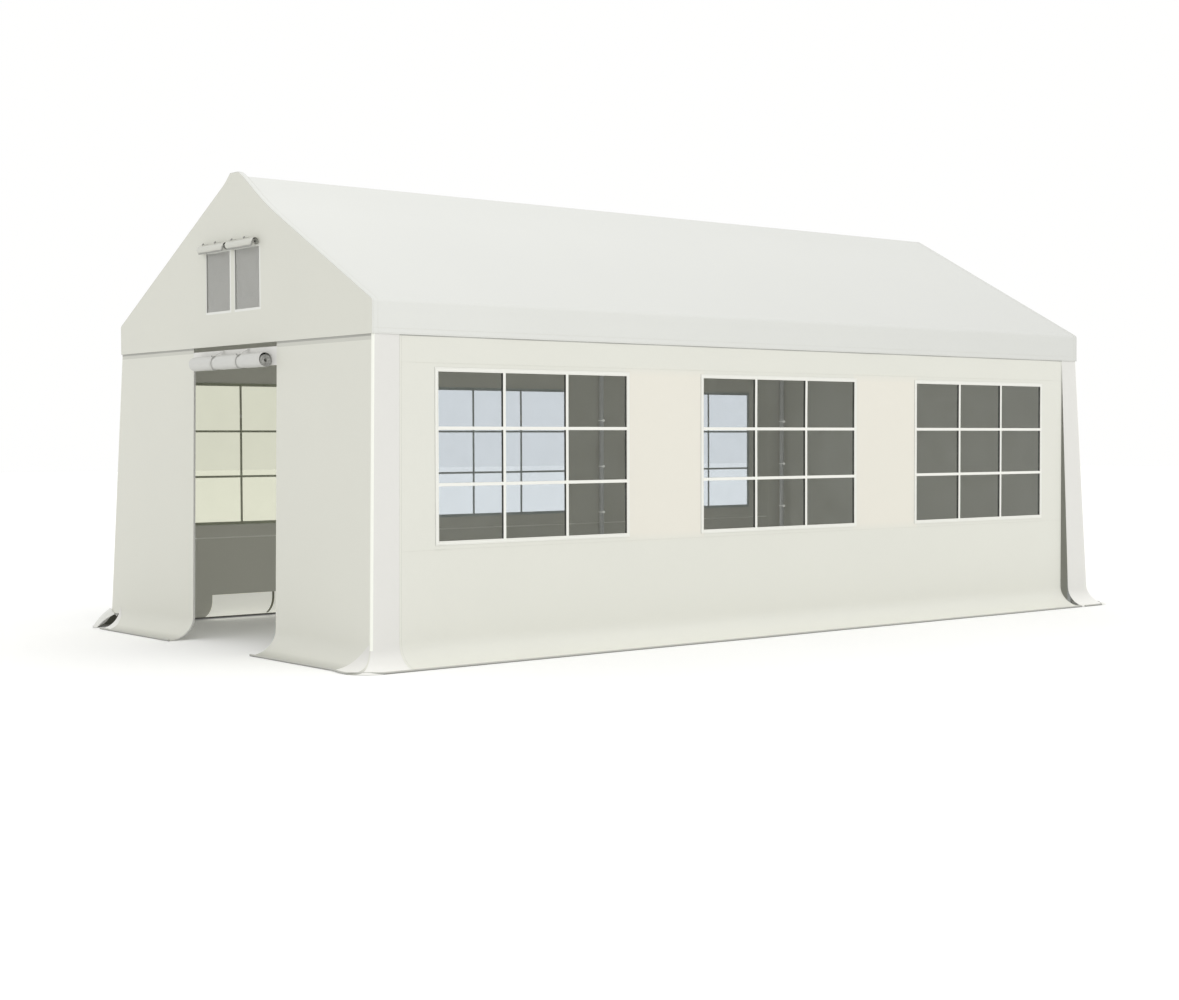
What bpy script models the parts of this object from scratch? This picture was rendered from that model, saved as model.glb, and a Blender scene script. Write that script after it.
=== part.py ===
"""Marquee tent, 3 m wide and 6 m long, in three bays.

A steel tube frame of eight legs, four roof bows and straight rails carries a fabric roof cover,
two gables, two end walls and two window walls. The front gable looks along -Y, the length runs
along Y, and the origin is on the ground at the centre of the footprint.
"""
from math import cos, hypot, pi, radians, sin

import bmesh
import bpy
from mathutils import Matrix, Vector

# Driving dimensions, in metres
WIDTH = 3.0
LENGTH = 6.0
EAVE_Z = 1.94
RIDGE_Z = 2.752
VALANCE_Z = 1.76
BAYS = 3

FABRIC = 0.003
FILM = 0.0015
GAP = 0.0003
SEAM_GAP = 0.0009

TUBE_R = 0.019
SLEEVE_R = 0.0215
SLEEVE_LENGTH = 0.12
FOOT_SIZE = 0.10
FOOT_THICKNESS = 0.004

WALL_TOP_Z = 1.93
SKIRT_OUT = 0.185
SKIRT_START_Z = 0.14
SKIRT_STEPS = 8
CORNER_LEAN = 0.037

DOOR_WIDTH = 1.0
DOOR_TOP_Z = 1.775
CORNER_RETURN = 0.17

WINDOW_WIDTH = 1.32
WINDOW_BOTTOM_Z = 0.66
WINDOW_TOP_Z = 1.57
WINDOW_PITCH = 1.925
FILM_LAP = 0.02

VENT_WIDTH = 0.28
VENT_BOTTOM_Z = 1.965
VENT_TOP_Z = 2.31
VENT_STRIP = 0.07
SCREEN_LAP = 0.014

DOOR_ROLL_R = 0.044
DOOR_ROLL_LENGTH = 0.85
DOOR_ROLL_X = 0.02
DOOR_ROLL_Z = 1.665
DOOR_STRIP_BOTTOM_Z = 1.62
DOOR_STRIP_TOP_Z = 1.738

VENT_ROLL_R = 0.024
VENT_ROLL_LENGTH = 0.325
VENT_ROLL_Z = 2.338
VENT_ROLL_SHIFT = 0.02

SIDES = 20
FACET_TURN = 0.07
SLEEVE_INSET = 0.006
RAFTER_INSET = 0.04

# Planes worked out from them
HALF_W = WIDTH / 2
HALF_L = LENGTH / 2
PITCH = (RIDGE_Z - EAVE_Z) / HALF_W
SLOPE = hypot(1.0, PITCH)
WALL_X = HALF_W - FABRIC - GAP
WALL_Y = HALF_L - FABRIC - GAP
WALL_SKIRT = SKIRT_OUT + FABRIC + GAP
FRAME_X = WALL_X - FABRIC - GAP - SLEEVE_R
FRAME_Y = WALL_Y - FABRIC - GAP - SLEEVE_R
BAY = 2 * FRAME_Y / BAYS
AXIS_DROP = (FABRIC + GAP + SLEEVE_R) * SLOPE


def roof_z(x):
    """Height of the roof cover's outer face at x."""
    return EAVE_Z + (HALF_W - abs(x)) * PITCH


def axis_z(x):
    """Height of a rafter's axis at x."""
    return roof_z(x) - AXIS_DROP


def make_material(name, color, roughness, metallic=0.0):
    material = bpy.data.materials.new(name)
    material.use_nodes = True
    shader = material.node_tree.nodes["Principled BSDF"]
    shader.inputs["Base Color"].default_value = (*color, 1.0)
    shader.inputs["Roughness"].default_value = roughness
    shader.inputs["Metallic"].default_value = metallic
    return material


def make_object(name, mesh, material, location=(0.0, 0.0, 0.0)):
    if not mesh.materials:
        mesh.materials.append(material)
    piece = bpy.data.objects.new(name, mesh)
    piece.location = location
    bpy.context.scene.collection.objects.link(piece)
    return piece


def clear_scene():
    for leftover in list(bpy.data.objects):
        bpy.data.objects.remove(leftover)


def bar_mesh(name, start, end, radius, phase=0.0):
    """A closed round bar between two points, with its facets turned by a phase."""
    start, end = Vector(start), Vector(end)
    axis = end - start
    turn = axis.to_track_quat("Z", "Y").to_matrix().to_4x4()
    place = Matrix.Translation((start + end) / 2) @ turn @ Matrix.Rotation(phase, 4, "Z")
    bm = bmesh.new()
    bmesh.ops.create_cone(bm, cap_ends=True, segments=SIDES, radius1=radius, radius2=radius,
                          depth=axis.length, matrix=place)
    mesh = bpy.data.meshes.new(name)
    bm.to_mesh(mesh)
    bm.free()
    return mesh


def box_mesh(name, low, high):
    """A closed block between two corners."""
    low, high = Vector(low), Vector(high)
    bm = bmesh.new()
    bmesh.ops.create_cube(bm, size=1.0)
    bmesh.ops.scale(bm, vec=high - low, verts=bm.verts)
    bmesh.ops.translate(bm, vec=(low + high) / 2, verts=bm.verts)
    mesh = bpy.data.meshes.new(name)
    bm.to_mesh(mesh)
    bm.free()
    return mesh


def fused_mesh(name, solids):
    """One closed body from solids that run into each other."""
    first, *others = solids
    base = bpy.data.objects.new(name, first)
    bpy.context.scene.collection.objects.link(base)
    cutters = []
    for solid in others:
        cutter = bpy.data.objects.new(f"{name}_cutter", solid)
        cutter.hide_render = True
        cutter.display_type = "WIRE"
        bpy.context.scene.collection.objects.link(cutter)
        join = base.modifiers.new("join", "BOOLEAN")
        join.operation = "UNION"
        join.solver = "EXACT"
        join.object = cutter
        cutters.append(cutter)
    bpy.context.view_layer.update()
    evaluated = base.evaluated_get(bpy.context.evaluated_depsgraph_get())
    mesh = bpy.data.meshes.new_from_object(evaluated)
    for helper in [base, *cutters]:
        bpy.data.objects.remove(helper)
    mesh.name = name
    smooth_round(mesh)
    return mesh


def smooth_round(mesh):
    mesh.shade_smooth()
    mesh.set_sharp_from_angle(angle=radians(35))


def make_sheet(name, columns, rows, place, material, open_cells=(), thickness=FABRIC):
    """A sheet on a grid of cells, with its outer face on the grid and cells left open."""
    bm = bmesh.new()
    grid = {}

    def corner(column, row):
        if (column, row) not in grid:
            grid[column, row] = bm.verts.new(place(columns[column], rows[row]))
        return grid[column, row]

    for column in range(len(columns) - 1):
        for row in range(len(rows) - 1):
            if (column, row) in open_cells:
                continue
            bm.faces.new((corner(column, row), corner(column + 1, row),
                          corner(column + 1, row + 1), corner(column, row + 1)))
    mesh = bpy.data.meshes.new(name)
    bm.to_mesh(mesh)
    bm.free()
    sheet = make_object(name, mesh, material)
    solid = sheet.modifiers.new("thickness", "SOLIDIFY")
    solid.thickness = thickness
    solid.offset = -1.0
    solid.use_even_offset = True
    return sheet


def wall_rows(*heights):
    """Rows of a wall as the skirt's share of its reach and a height, from the tip upwards."""
    rise = SKIRT_START_Z - FABRIC
    turns = [0.5 * pi * (1 - step / SKIRT_STEPS) for step in range(SKIRT_STEPS + 1)]
    skirt = [(1 - cos(turn), FABRIC + rise * (1 - sin(turn))) for turn in turns]
    return skirt + [(0.0, height) for height in heights]


def lean_at(z):
    """How far a corner stands out at z, from nothing under the valance to all at the skirt."""
    share = (VALANCE_Z - z) / (VALANCE_Z - SKIRT_START_Z)
    return CORNER_LEAN * min(max(share, 0.0), 1.0)


def reach(row, leaning):
    """Distance of a wall's outer face from its upright plane."""
    share, z = row
    lean = lean_at(z) if leaning else 0.0
    return lean + (WALL_SKIRT - lean) * share


def window_centres():
    return [-WINDOW_PITCH, 0.0, WINDOW_PITCH]


def half_turn(point, turned):
    x, y, z = point
    return (-x, -y, z) if turned else (x, y, z)


# Frame

def leg_mesh():
    half = FOOT_SIZE / 2
    top = axis_z(FRAME_X) - SLEEVE_LENGTH - GAP
    plate = box_mesh("foot_plate", (-half, -half, 0.0), (half, half, FOOT_THICKNESS))
    tube = bar_mesh("leg_tube", (0.0, 0.0, FOOT_THICKNESS / 2), (0.0, 0.0, top), TUBE_R)
    return fused_mesh("leg", [tube, plate])


def bow_mesh(name, rail_ways):
    """Two rafters with their ridge connector and eave connectors, at y = 0."""
    ridge = Vector((0.0, 0.0, axis_z(0.0)))
    down = Vector((0.0, 0.0, -1.0))
    rafters = []
    sleeves = [rail_sleeve(ridge, rail_ways)]
    for side in (-1, 1):
        eave = Vector((side * FRAME_X, 0.0, axis_z(FRAME_X)))
        slope = (ridge - eave).normalized()
        rafters.append(bar_mesh("rafter", eave + slope * RAFTER_INSET, ridge - slope * RAFTER_INSET,
                                TUBE_R, FACET_TURN))
        sleeves.append(rail_sleeve(eave, rail_ways))
        for node, way in ((eave, slope), (ridge, -slope), (eave, down)):
            sleeves.append(bar_mesh("sleeve", node + way * SLEEVE_INSET, node + way * SLEEVE_LENGTH,
                                    SLEEVE_R, FACET_TURN * len(sleeves)))
    return fused_mesh(name, sleeves + rafters)


def rail_sleeve(node, rail_ways):
    """The sleeve that takes the rails at a connector, towards the back, the front or both."""
    back, front = rail_ways
    start = node - Vector((0.0, SLEEVE_LENGTH if front else 0.0, 0.0))
    end = node + Vector((0.0, SLEEVE_LENGTH if back else 0.0, 0.0))
    return bar_mesh("rail_sleeve", start, end, SLEEVE_R)


def make_frame(steel):
    leg = leg_mesh()
    middle = bow_mesh("bow_middle", (True, True))
    bows = [("front", bow_mesh("bow_front", (True, False))), ("second", middle), ("third", middle),
            ("back", bow_mesh("bow_back", (False, True)))]
    for number, (name, mesh) in enumerate(bows):
        y = -FRAME_Y + number * BAY
        make_object(f"roof_bow_{name}", mesh, steel, (0.0, y, 0.0))
        make_object(f"leg_right_{number + 1}", leg, steel, (FRAME_X, y, 0.0))
        make_object(f"leg_left_{number + 1}", leg, steel, (-FRAME_X, y, 0.0))
    rail_half = BAY / 2 - SLEEVE_LENGTH - GAP
    rail = bar_mesh("rail", (0.0, -rail_half, 0.0), (0.0, rail_half, 0.0), TUBE_R)
    smooth_round(rail)
    for number in range(BAYS):
        y = -FRAME_Y + (number + 0.5) * BAY
        make_object(f"ridge_rail_{number + 1}", rail, steel, (0.0, y, axis_z(0.0)))
        make_object(f"eave_rail_right_{number + 1}", rail, steel, (FRAME_X, y, axis_z(FRAME_X)))
        make_object(f"eave_rail_left_{number + 1}", rail, steel, (-FRAME_X, y, axis_z(FRAME_X)))


# Roof and gables

def make_roof_cover(fabric):
    """Both slopes and the eave valances, one sheet folded over the frame."""
    profile = [(-HALF_W, VALANCE_Z), (-HALF_W, EAVE_Z), (0.0, RIDGE_Z),
               (HALF_W, EAVE_Z), (HALF_W, VALANCE_Z)]
    return make_sheet("roof_cover", profile, [-HALF_L, HALF_L],
                      lambda at, y: (at[0], y, at[1]), fabric)


def vent_edges():
    inner = VENT_STRIP / 2
    outer = inner + VENT_WIDTH
    return inner, outer


def make_gable(name, turned, fabric):
    """The triangle under the roof with two vents cut through, and its valance."""
    inner, outer = vent_edges()
    columns = [-WALL_X, -outer, -inner, 0.0, inner, outer, WALL_X]

    def place(x, share):
        top = roof_z(x) - (FABRIC + GAP) * SLOPE
        if abs(x) <= outer:
            z = (VALANCE_Z, VENT_BOTTOM_Z, VENT_TOP_Z, top)[share]
        else:
            z = VALANCE_Z + (top - VALANCE_Z) * share / 3
        return half_turn((x, -HALF_L, z), turned)

    return make_sheet(name, columns, [0, 1, 2, 3], place, fabric, open_cells={(1, 1), (4, 1)})


def make_vent_screen(name, centre, turned, mesh_fabric):
    """The mesh behind one vent."""
    half = VENT_WIDTH / 2 + SCREEN_LAP
    columns = [centre - half, centre + half]
    rows = [VENT_BOTTOM_Z - SCREEN_LAP, VENT_TOP_Z + SCREEN_LAP]
    y = -(HALF_L - FABRIC - GAP)
    return make_sheet(name, columns, rows, lambda x, z: half_turn((x, y, z), turned),
                      mesh_fabric, thickness=FILM)


def make_vent_roll(name, centre, turned, fabric):
    """The flap of one vent, rolled up above it."""
    y = -(HALF_L + GAP + VENT_ROLL_R)
    x = centre - VENT_ROLL_SHIFT
    half = VENT_ROLL_LENGTH / 2
    start = half_turn((x - half, y, VENT_ROLL_Z), turned)
    end = half_turn((x + half, y, VENT_ROLL_Z), turned)
    mesh = bar_mesh(name, start, end, VENT_ROLL_R)
    smooth_round(mesh)
    return make_object(name, mesh, fabric)


def make_gables(fabric, mesh_fabric):
    inner, outer = vent_edges()
    middle = (inner + outer) / 2
    for end, turned in (("front", False), ("back", True)):
        make_gable(f"gable_{end}", turned, fabric)
        for number, centre in enumerate((-middle, middle), start=1):
            make_vent_screen(f"vent_screen_{end}_{number}", centre, turned, mesh_fabric)
            make_vent_roll(f"vent_roll_{end}_{number}", centre, turned, fabric)


# Walls

def make_end_wall(name, turned, fabric):
    """An end wall that turns both corners, with its doorway and its skirt."""
    half_door = DOOR_WIDTH / 2
    edge = HALF_L - CORNER_RETURN
    columns = [("edge", -1), ("corner", -1), ("door", -1), ("door", 1), ("corner", 1), ("edge", 1)]
    rows = wall_rows(VALANCE_Z, DOOR_TOP_Z, WALL_TOP_Z)

    def place(column, row):
        kind, side = column
        z = row[1]
        out = reach(row, kind != "door")
        if kind == "door":
            return half_turn((side * half_door, -(WALL_Y + out), z), turned)
        y = edge + lean_at(z) if kind == "edge" else WALL_Y + out
        return half_turn((side * (WALL_X + out), -y, z), turned)

    doorway = {(2, row) for row in range(len(rows) - 2)}
    return make_sheet(name, columns, rows, place, fabric, open_cells=doorway)


def make_back_door(fabric):
    """The closed door panel that fills the back doorway."""
    half = DOOR_WIDTH / 2 - GAP
    rows = wall_rows(DOOR_TOP_Z - GAP)

    def place(x, row):
        return half_turn((x, -(WALL_Y + reach(row, False)), row[1]), True)

    return make_sheet("door_panel_back", [-half, half], rows, place, fabric)


def make_front_door(fabric):
    """The front door panel: a strip across the doorway with the rest rolled up in front of it."""
    half = DOOR_WIDTH / 2 - GAP
    inner_y = -(WALL_Y - FABRIC)
    roll_y = inner_y - DOOR_ROLL_R
    roll_half = DOOR_ROLL_LENGTH / 2
    strip = box_mesh("door_strip", (-half, -WALL_Y, DOOR_STRIP_BOTTOM_Z),
                     (half, inner_y, DOOR_STRIP_TOP_Z))
    roll = bar_mesh("door_roll", (DOOR_ROLL_X - roll_half, roll_y, DOOR_ROLL_Z),
                    (DOOR_ROLL_X + roll_half, roll_y, DOOR_ROLL_Z), DOOR_ROLL_R)
    return make_object("door_roll_front", fused_mesh("door_roll_front", [roll, strip]), fabric)


def make_side_wall(name, side, fabric):
    """A long wall with three window openings and its skirt.

    Its front edge follows the corner return beside it. Its back edge hangs straight, so a slit
    opens downwards between it and the return at the back.
    """
    edge = HALF_L - CORNER_RETURN - SEAM_GAP
    half_window = WINDOW_WIDTH / 2
    along = [-edge, edge]
    for centre in window_centres():
        along += [centre - half_window, centre + half_window]
    along.sort(reverse=side < 0)
    rows = wall_rows(WINDOW_BOTTOM_Z, WINDOW_TOP_Z, VALANCE_Z, WALL_TOP_Z)
    window_row = [height for _, height in rows].index(WINDOW_BOTTOM_Z)
    openings = {(column, window_row) for column in (1, 3, 5)}

    def place(y, row):
        leaning = y == -edge
        shift = lean_at(row[1]) if leaning else 0.0
        return side * (WALL_X + reach(row, leaning)), y - shift, row[1]

    return make_sheet(name, along, rows, place, fabric, open_cells=openings)


def make_window_film(name, side, centre, film):
    """The clear film behind one window opening."""
    half = WINDOW_WIDTH / 2 + FILM_LAP
    columns = [centre - half, centre + half]
    if side < 0:
        columns.reverse()
    rows = [WINDOW_BOTTOM_Z - FILM_LAP, WINDOW_TOP_Z + FILM_LAP]
    x = side * (WALL_X - FABRIC - GAP)
    return make_sheet(name, columns, rows, lambda y, z: (x, y, z), film, thickness=FILM)


def make_walls(fabric, film):
    make_end_wall("end_wall_front", False, fabric)
    make_end_wall("end_wall_back", True, fabric)
    make_front_door(fabric)
    make_back_door(fabric)
    for word, side in (("right", 1), ("left", -1)):
        make_side_wall(f"side_wall_{word}", side, fabric)
        for number, centre in enumerate(window_centres(), start=1):
            make_window_film(f"window_film_{word}_{number}", side, centre, film)


def main():
    clear_scene()
    steel = make_material("galvanised_steel", (0.60, 0.61, 0.62), 0.42, 1.0)
    fabric = make_material("white_fabric", (0.83, 0.83, 0.79), 0.55)
    film = make_material("clear_film", (0.72, 0.75, 0.74), 0.12)
    mesh_fabric = make_material("vent_mesh", (0.40, 0.41, 0.38), 0.70)
    make_frame(steel)
    make_roof_cover(fabric)
    make_gables(fabric, mesh_fabric)
    make_walls(fabric, film)


main()
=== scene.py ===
# %% [markdown]
# # Dressing a marquee tent
# A party tent of coated cloth over a steel tube frame: a roof cover, two gables, two end walls
# and two window walls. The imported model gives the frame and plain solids. This lesson keeps the
# steel and swaps every plain fabric solid for cloth with folds, seams, windows, nets and rolls.

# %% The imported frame
from math import acos, atan2, ceil, cos, exp, hypot, pi, radians, sin, sqrt, tan

import bpy
from mathutils import Matrix, Vector, noise


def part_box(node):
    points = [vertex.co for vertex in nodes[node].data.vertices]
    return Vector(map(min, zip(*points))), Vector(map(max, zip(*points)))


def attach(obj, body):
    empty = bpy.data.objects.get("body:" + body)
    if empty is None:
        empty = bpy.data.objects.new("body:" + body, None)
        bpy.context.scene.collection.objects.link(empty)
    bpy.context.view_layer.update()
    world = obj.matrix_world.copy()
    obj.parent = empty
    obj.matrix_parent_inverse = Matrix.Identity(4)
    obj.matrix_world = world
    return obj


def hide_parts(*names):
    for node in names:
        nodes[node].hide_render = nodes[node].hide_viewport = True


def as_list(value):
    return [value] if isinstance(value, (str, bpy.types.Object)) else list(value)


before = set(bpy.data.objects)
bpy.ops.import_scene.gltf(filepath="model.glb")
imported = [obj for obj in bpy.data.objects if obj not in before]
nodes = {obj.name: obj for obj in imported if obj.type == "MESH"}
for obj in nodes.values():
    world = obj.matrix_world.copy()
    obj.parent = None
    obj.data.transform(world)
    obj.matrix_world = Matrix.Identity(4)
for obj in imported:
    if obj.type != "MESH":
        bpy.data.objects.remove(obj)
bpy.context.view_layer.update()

# %% [markdown]
# ## Sizes
# Every size that the solids already hold is read from their boxes, so nothing is fitted twice.
# The few that no box shows, such as the height of the eave's fold, are named here.

# %% Sizes
roof_low, roof_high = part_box("roof_cover")
HALF_W, HALF_L = roof_high.x, roof_high.y
RIDGE_Z, VALANCE_Z = roof_high.z, roof_low.z
EAVE_Z = 1.94
SLANT = atan2(RIDGE_Z - EAVE_Z, HALF_W)

CLOTH = 0.0012
TRIM_CLOTH = 0.001
THIN_CLOTH = 0.0008
SOLID_CLOTH = 0.003
GAP = 0.0003
WALL_X = HALF_W - SOLID_CLOTH - GAP
WALL_Y = HALF_L - SOLID_CLOTH - GAP
WALL_TOP_Z = 1.93

leg_places = {name: (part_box(name)[0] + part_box(name)[1]) / 2 for name in nodes if name.startswith("leg_")}
LEG_X = leg_places["leg_right_1"].x
BOW_Y = sorted({round(place.y, 4) for place in leg_places.values()})
ENDS = (("front", False), ("back", True))
SIDES = (("right", 1.0), ("left", -1.0))
print("bows at y =", BOW_Y, "and legs at x =", round(LEG_X, 4))


# %% [markdown]
# ## Camera
# The picture was taken from the front right, low down, with a lens of about 57 mm. A camera is
# turned in three steps: roll about its own axis, pitch about its side, yaw about the vertical.

# %% Camera
PICTURE_WIDTH = 1179
FOCAL_PIXELS = 1856.5
CAMERA_PLACE = (9.719, -8.232, 1.199)
CAMERA_YAW, CAMERA_PITCH, CAMERA_ROLL = radians(50.881), radians(-1.84), radians(-0.175)


def new_object(name, data):
    made = bpy.data.objects.new(name, data)
    bpy.context.scene.collection.objects.link(made)
    return made


camera_data = bpy.data.cameras.new("camera")
camera_data.sensor_fit = "HORIZONTAL"
camera_data.lens = FOCAL_PIXELS * camera_data.sensor_width / PICTURE_WIDTH
camera = new_object("camera", camera_data)
turn = (Matrix.Rotation(CAMERA_YAW, 4, "Z") @ Matrix.Rotation(pi / 2 + CAMERA_PITCH, 4, "X")
        @ Matrix.Rotation(CAMERA_ROLL, 4, "Z"))
camera.matrix_world = Matrix.Translation(CAMERA_PLACE) @ turn
bpy.context.scene.camera = camera
bpy.context.scene.view_settings.view_transform = "Standard"
print("camera lens:", round(camera_data.lens, 2), "mm")

# %% [markdown]
# ## Light
# White cloth shows its form only by small steps of brightness, so the light is a bright even
# room with one wide soft lamp, high on the right: the roof gets most, the long wall less and the
# front gable least.

# %% Light
ROOM_LIGHT = 1.0
ROOM_COLOUR = (1.0, 1.0, 0.995, 1.0)
LAMP_LIGHT = 0.54
LAMP_SPREAD = radians(50)
LAMP_FROM = Vector((0.10, 0.02, 0.139))

world = bpy.data.worlds.new("room")
world.use_nodes = True
background = world.node_tree.nodes["Background"].inputs
background["Color"].default_value = ROOM_COLOUR
background["Strength"].default_value = ROOM_LIGHT
bpy.context.scene.world = world

lamp_data = bpy.data.lights.new("soft_lamp", "SUN")
lamp_data.energy = LAMP_LIGHT
lamp_data.angle = LAMP_SPREAD
lamp = new_object("soft_lamp", lamp_data)
lamp.rotation_euler = LAMP_FROM.to_track_quat("Z", "Y").to_euler()
print("lamp at", round(LAMP_FROM.normalized().z, 2), "of straight up")


# %% [markdown]
# ## A pencil for node trees
# Materials and Geometry Nodes are both trees of nodes. One small class adds a node with its
# settings and sockets in a single call, and another wraps a socket so that ordinary Python
# arithmetic adds the Math nodes.

# %% Node helpers
class Wire:
    """A number socket that Python's operators can use."""

    def __init__(self, sketch, socket):
        self.sketch, self.socket = sketch, socket

    def math(self, operation, first, second=0.0):
        made = self.sketch.node("ShaderNodeMath", {0: first, 1: second}, operation=operation)
        return Wire(self.sketch, made.outputs[0])

    def __add__(self, other):
        return self.math("ADD", self, other)

    def __sub__(self, other):
        return self.math("SUBTRACT", self, other)

    def __rsub__(self, other):
        return self.math("SUBTRACT", other, self)

    def __mul__(self, other):
        return self.math("MULTIPLY", self, other)

    def sine(self):
        return self.math("SINE", self)

    __radd__, __rmul__ = __add__, __mul__


class Sketch:
    """A node tree that is being drawn."""

    def __init__(self, tree):
        self.tree = tree
        tree.nodes.clear()

    def node(self, kind, sockets=None, **settings):
        made = self.tree.nodes.new(kind)
        for name, value in settings.items():
            setattr(made, name, value)
        for key, value in (sockets or {}).items():
            self.plug(made.inputs[key], value)
        return made

    def plug(self, socket, value):
        if isinstance(value, Wire):
            value = value.socket
        if isinstance(value, bpy.types.NodeSocket):
            self.tree.links.new(value, socket)
        else:
            socket.default_value = value

    def wire(self, kind, sockets=None, **settings):
        return Wire(self, self.node(kind, sockets, **settings).outputs[0])

    def mix(self, share, first, second, kind="MIX"):
        """A colour between two colour sockets or two colours with their alpha."""
        sockets = {0: share, 6: first, 7: second}
        return self.node("ShaderNodeMix", sockets, data_type="RGBA", blend_type=kind).outputs[2]

    def blend(self, share, first, second):
        """A colour between two plain colours."""
        return self.mix(share, (*first, 1.0), (*second, 1.0))

    def vary(self, share, colour, amount):
        """The colour, a little darker and lighter by turns."""
        return self.blend(share, toned(colour, 1.0 - amount), toned(colour, 1.0 + amount))

    def place(self):
        return self.node("ShaderNodeTexCoord").outputs["Object"]

    def noise(self, scale, detail=2.0):
        """Smooth noise over the object's own coordinates."""
        sockets = {"Vector": self.place(), "Scale": scale, "Detail": detail}
        return self.wire("ShaderNodeTexNoise", sockets)

    def join(self, *parts):
        """Geometry joined in the given order."""
        joined = self.node("GeometryNodeJoinGeometry")
        for part in parts:
            self.plug(joined.inputs[0], part)
        return joined.outputs[0]

    def bump(self, height):
        """A relief whose height is in metres."""
        sockets = {"Strength": 1.0, "Distance": 1.0, "Height": height}
        return self.node("ShaderNodeBump", sockets).outputs[0]


def toned(colour, amount):
    return tuple(min(part * amount, 1.0) for part in colour)


def new_finish(name):
    finish = bpy.data.materials.new(name)
    finish.use_nodes = True
    return finish, Sketch(finish.node_tree)


def close_finish(finish, sketch, shader):
    sketch.node("ShaderNodeOutputMaterial", {"Surface": shader.outputs[0]})
    return finish


def close_coat(finish, sketch, sockets, colour=None, glow=0.0):
    """Ends a finish in one shader, which may glow a little in its own colour."""
    if glow:
        sockets = {**sockets, "Emission Color": (*colour, 1.0), "Emission Strength": glow}
    return close_finish(finish, sketch, sketch.node("ShaderNodeBsdfPrincipled", sockets))


print("node helpers ready")

# %% [markdown]
# ## Floor
# A pale matt floor, far wider than the tent, catches the soft shade under the skirts. It is part
# of the stage and not of the tent.

# %% Floor
FLOOR_REACH = 60.0
FLOOR_GLOW = 0.09

floor_mesh = bpy.data.meshes.new("floor")
floor_corners = [(x * FLOOR_REACH, y * FLOOR_REACH, 0.0) for x, y in ((-1, -1), (1, -1), (1, 1), (-1, 1))]
floor_mesh.from_pydata(floor_corners, [], [(0, 1, 2, 3)])
floor_finish, sketch = new_finish("floor_finish")
grain = sketch.node("ShaderNodeTexNoise", {"Scale": 3.0}).outputs[0]
floor_colour = sketch.blend(grain, (0.89, 0.89, 0.88), (0.91, 0.91, 0.90))
close_coat(floor_finish, sketch, {"Base Color": floor_colour, "Roughness": 0.9, "Specular IOR Level": 0.2},
           (1.0, 1.0, 0.99), FLOOR_GLOW)
floor_mesh.materials.append(floor_finish)
new_object("floor", floor_mesh)
print("floor:", 2 * FLOOR_REACH, "m wide")

# %% [markdown]
# ## Cloth finishes
# The cloth is a woven scrim with a plastic coat. Up close the threads show through as a fine
# checked relief, and over a metre the coat drifts a little in tone and gloss. Each finish reads
# the panel's own UV map, which is laid out in metres, so threads keep one size and follow the
# cut. The cloth's inner face is a duller olive grey that glows faintly: painted light for the
# daylight that comes through the cloth.

# %% Cloth finishes
THREAD_PITCH = 0.0022
THREAD_RELIEF = 0.00002
RIPPLE_RELIEF = 0.0010
COAT_DRIFT = 0.025


def coordinates(sketch, uv_map=None):
    """Wires for the place on the object and, where it has a cut, across and up the flat panel."""
    wires = {}
    sources = [("xyz", sketch.place())]
    if uv_map:
        sources.append((("across", "up"), sketch.node("ShaderNodeUVMap", uv_map=uv_map).outputs[0]))
    for names, source in sources:
        split = sketch.node("ShaderNodeSeparateXYZ", {0: source})
        wires.update({name: Wire(sketch, split.outputs[number]) for number, name in enumerate(names)})
    return wires


def ramp(sketch, value, start, end):
    """0 at the start, 1 at the end, and no further."""
    return sketch.wire("ShaderNodeMapRange", {"Value": value, "From Min": start, "From Max": end})


def faded(sketch, wires, tint, fades):
    """A tint that grows lighter or darker along lines. A fade is (line, start, end, amount)."""
    for line, start, end, amount in fades:
        tone = (amount, amount, amount, 1.0)
        tint = sketch.mix(ramp(sketch, wires[line], start, end), tint, tone, "MULTIPLY")
    return tint


def cloth_finish(name, colour, roughness=0.50, glow=0.0, fades=(), second=None, share_of_second=None):
    """Coated cloth in one colour, or in two where the share of the second is worked out."""
    finish, sketch = new_finish(name)
    wires = coordinates(sketch, "cut")
    turns = 2 * pi / THREAD_PITCH
    threads = (wires["across"] * turns).sine() * (wires["up"] * turns).sine()
    drift, speck, ripple = sketch.noise(1.7, 4.0), sketch.noise(60.0), sketch.noise(5.0, 1.0)
    share = drift * 0.75 + speck * 0.25
    tint = sketch.vary(share, colour, COAT_DRIFT)
    if second:
        tint = sketch.mix(share_of_second(sketch, wires), tint, sketch.vary(share, second, COAT_DRIFT))
    gloss = roughness + (drift - 0.5) * 0.16 + (speck - 0.5) * 0.08
    height = threads * THREAD_RELIEF + ripple * RIPPLE_RELIEF
    return close_coat(finish, sketch, {"Base Color": faded(sketch, wires, tint, fades), "Roughness": gloss,
                                       "Normal": sketch.bump(height), "Specular IOR Level": 0.35},
                      colour, glow)


# Painted light: the inner cloth glows faintly, standing in for daylight through the cloth.
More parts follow.
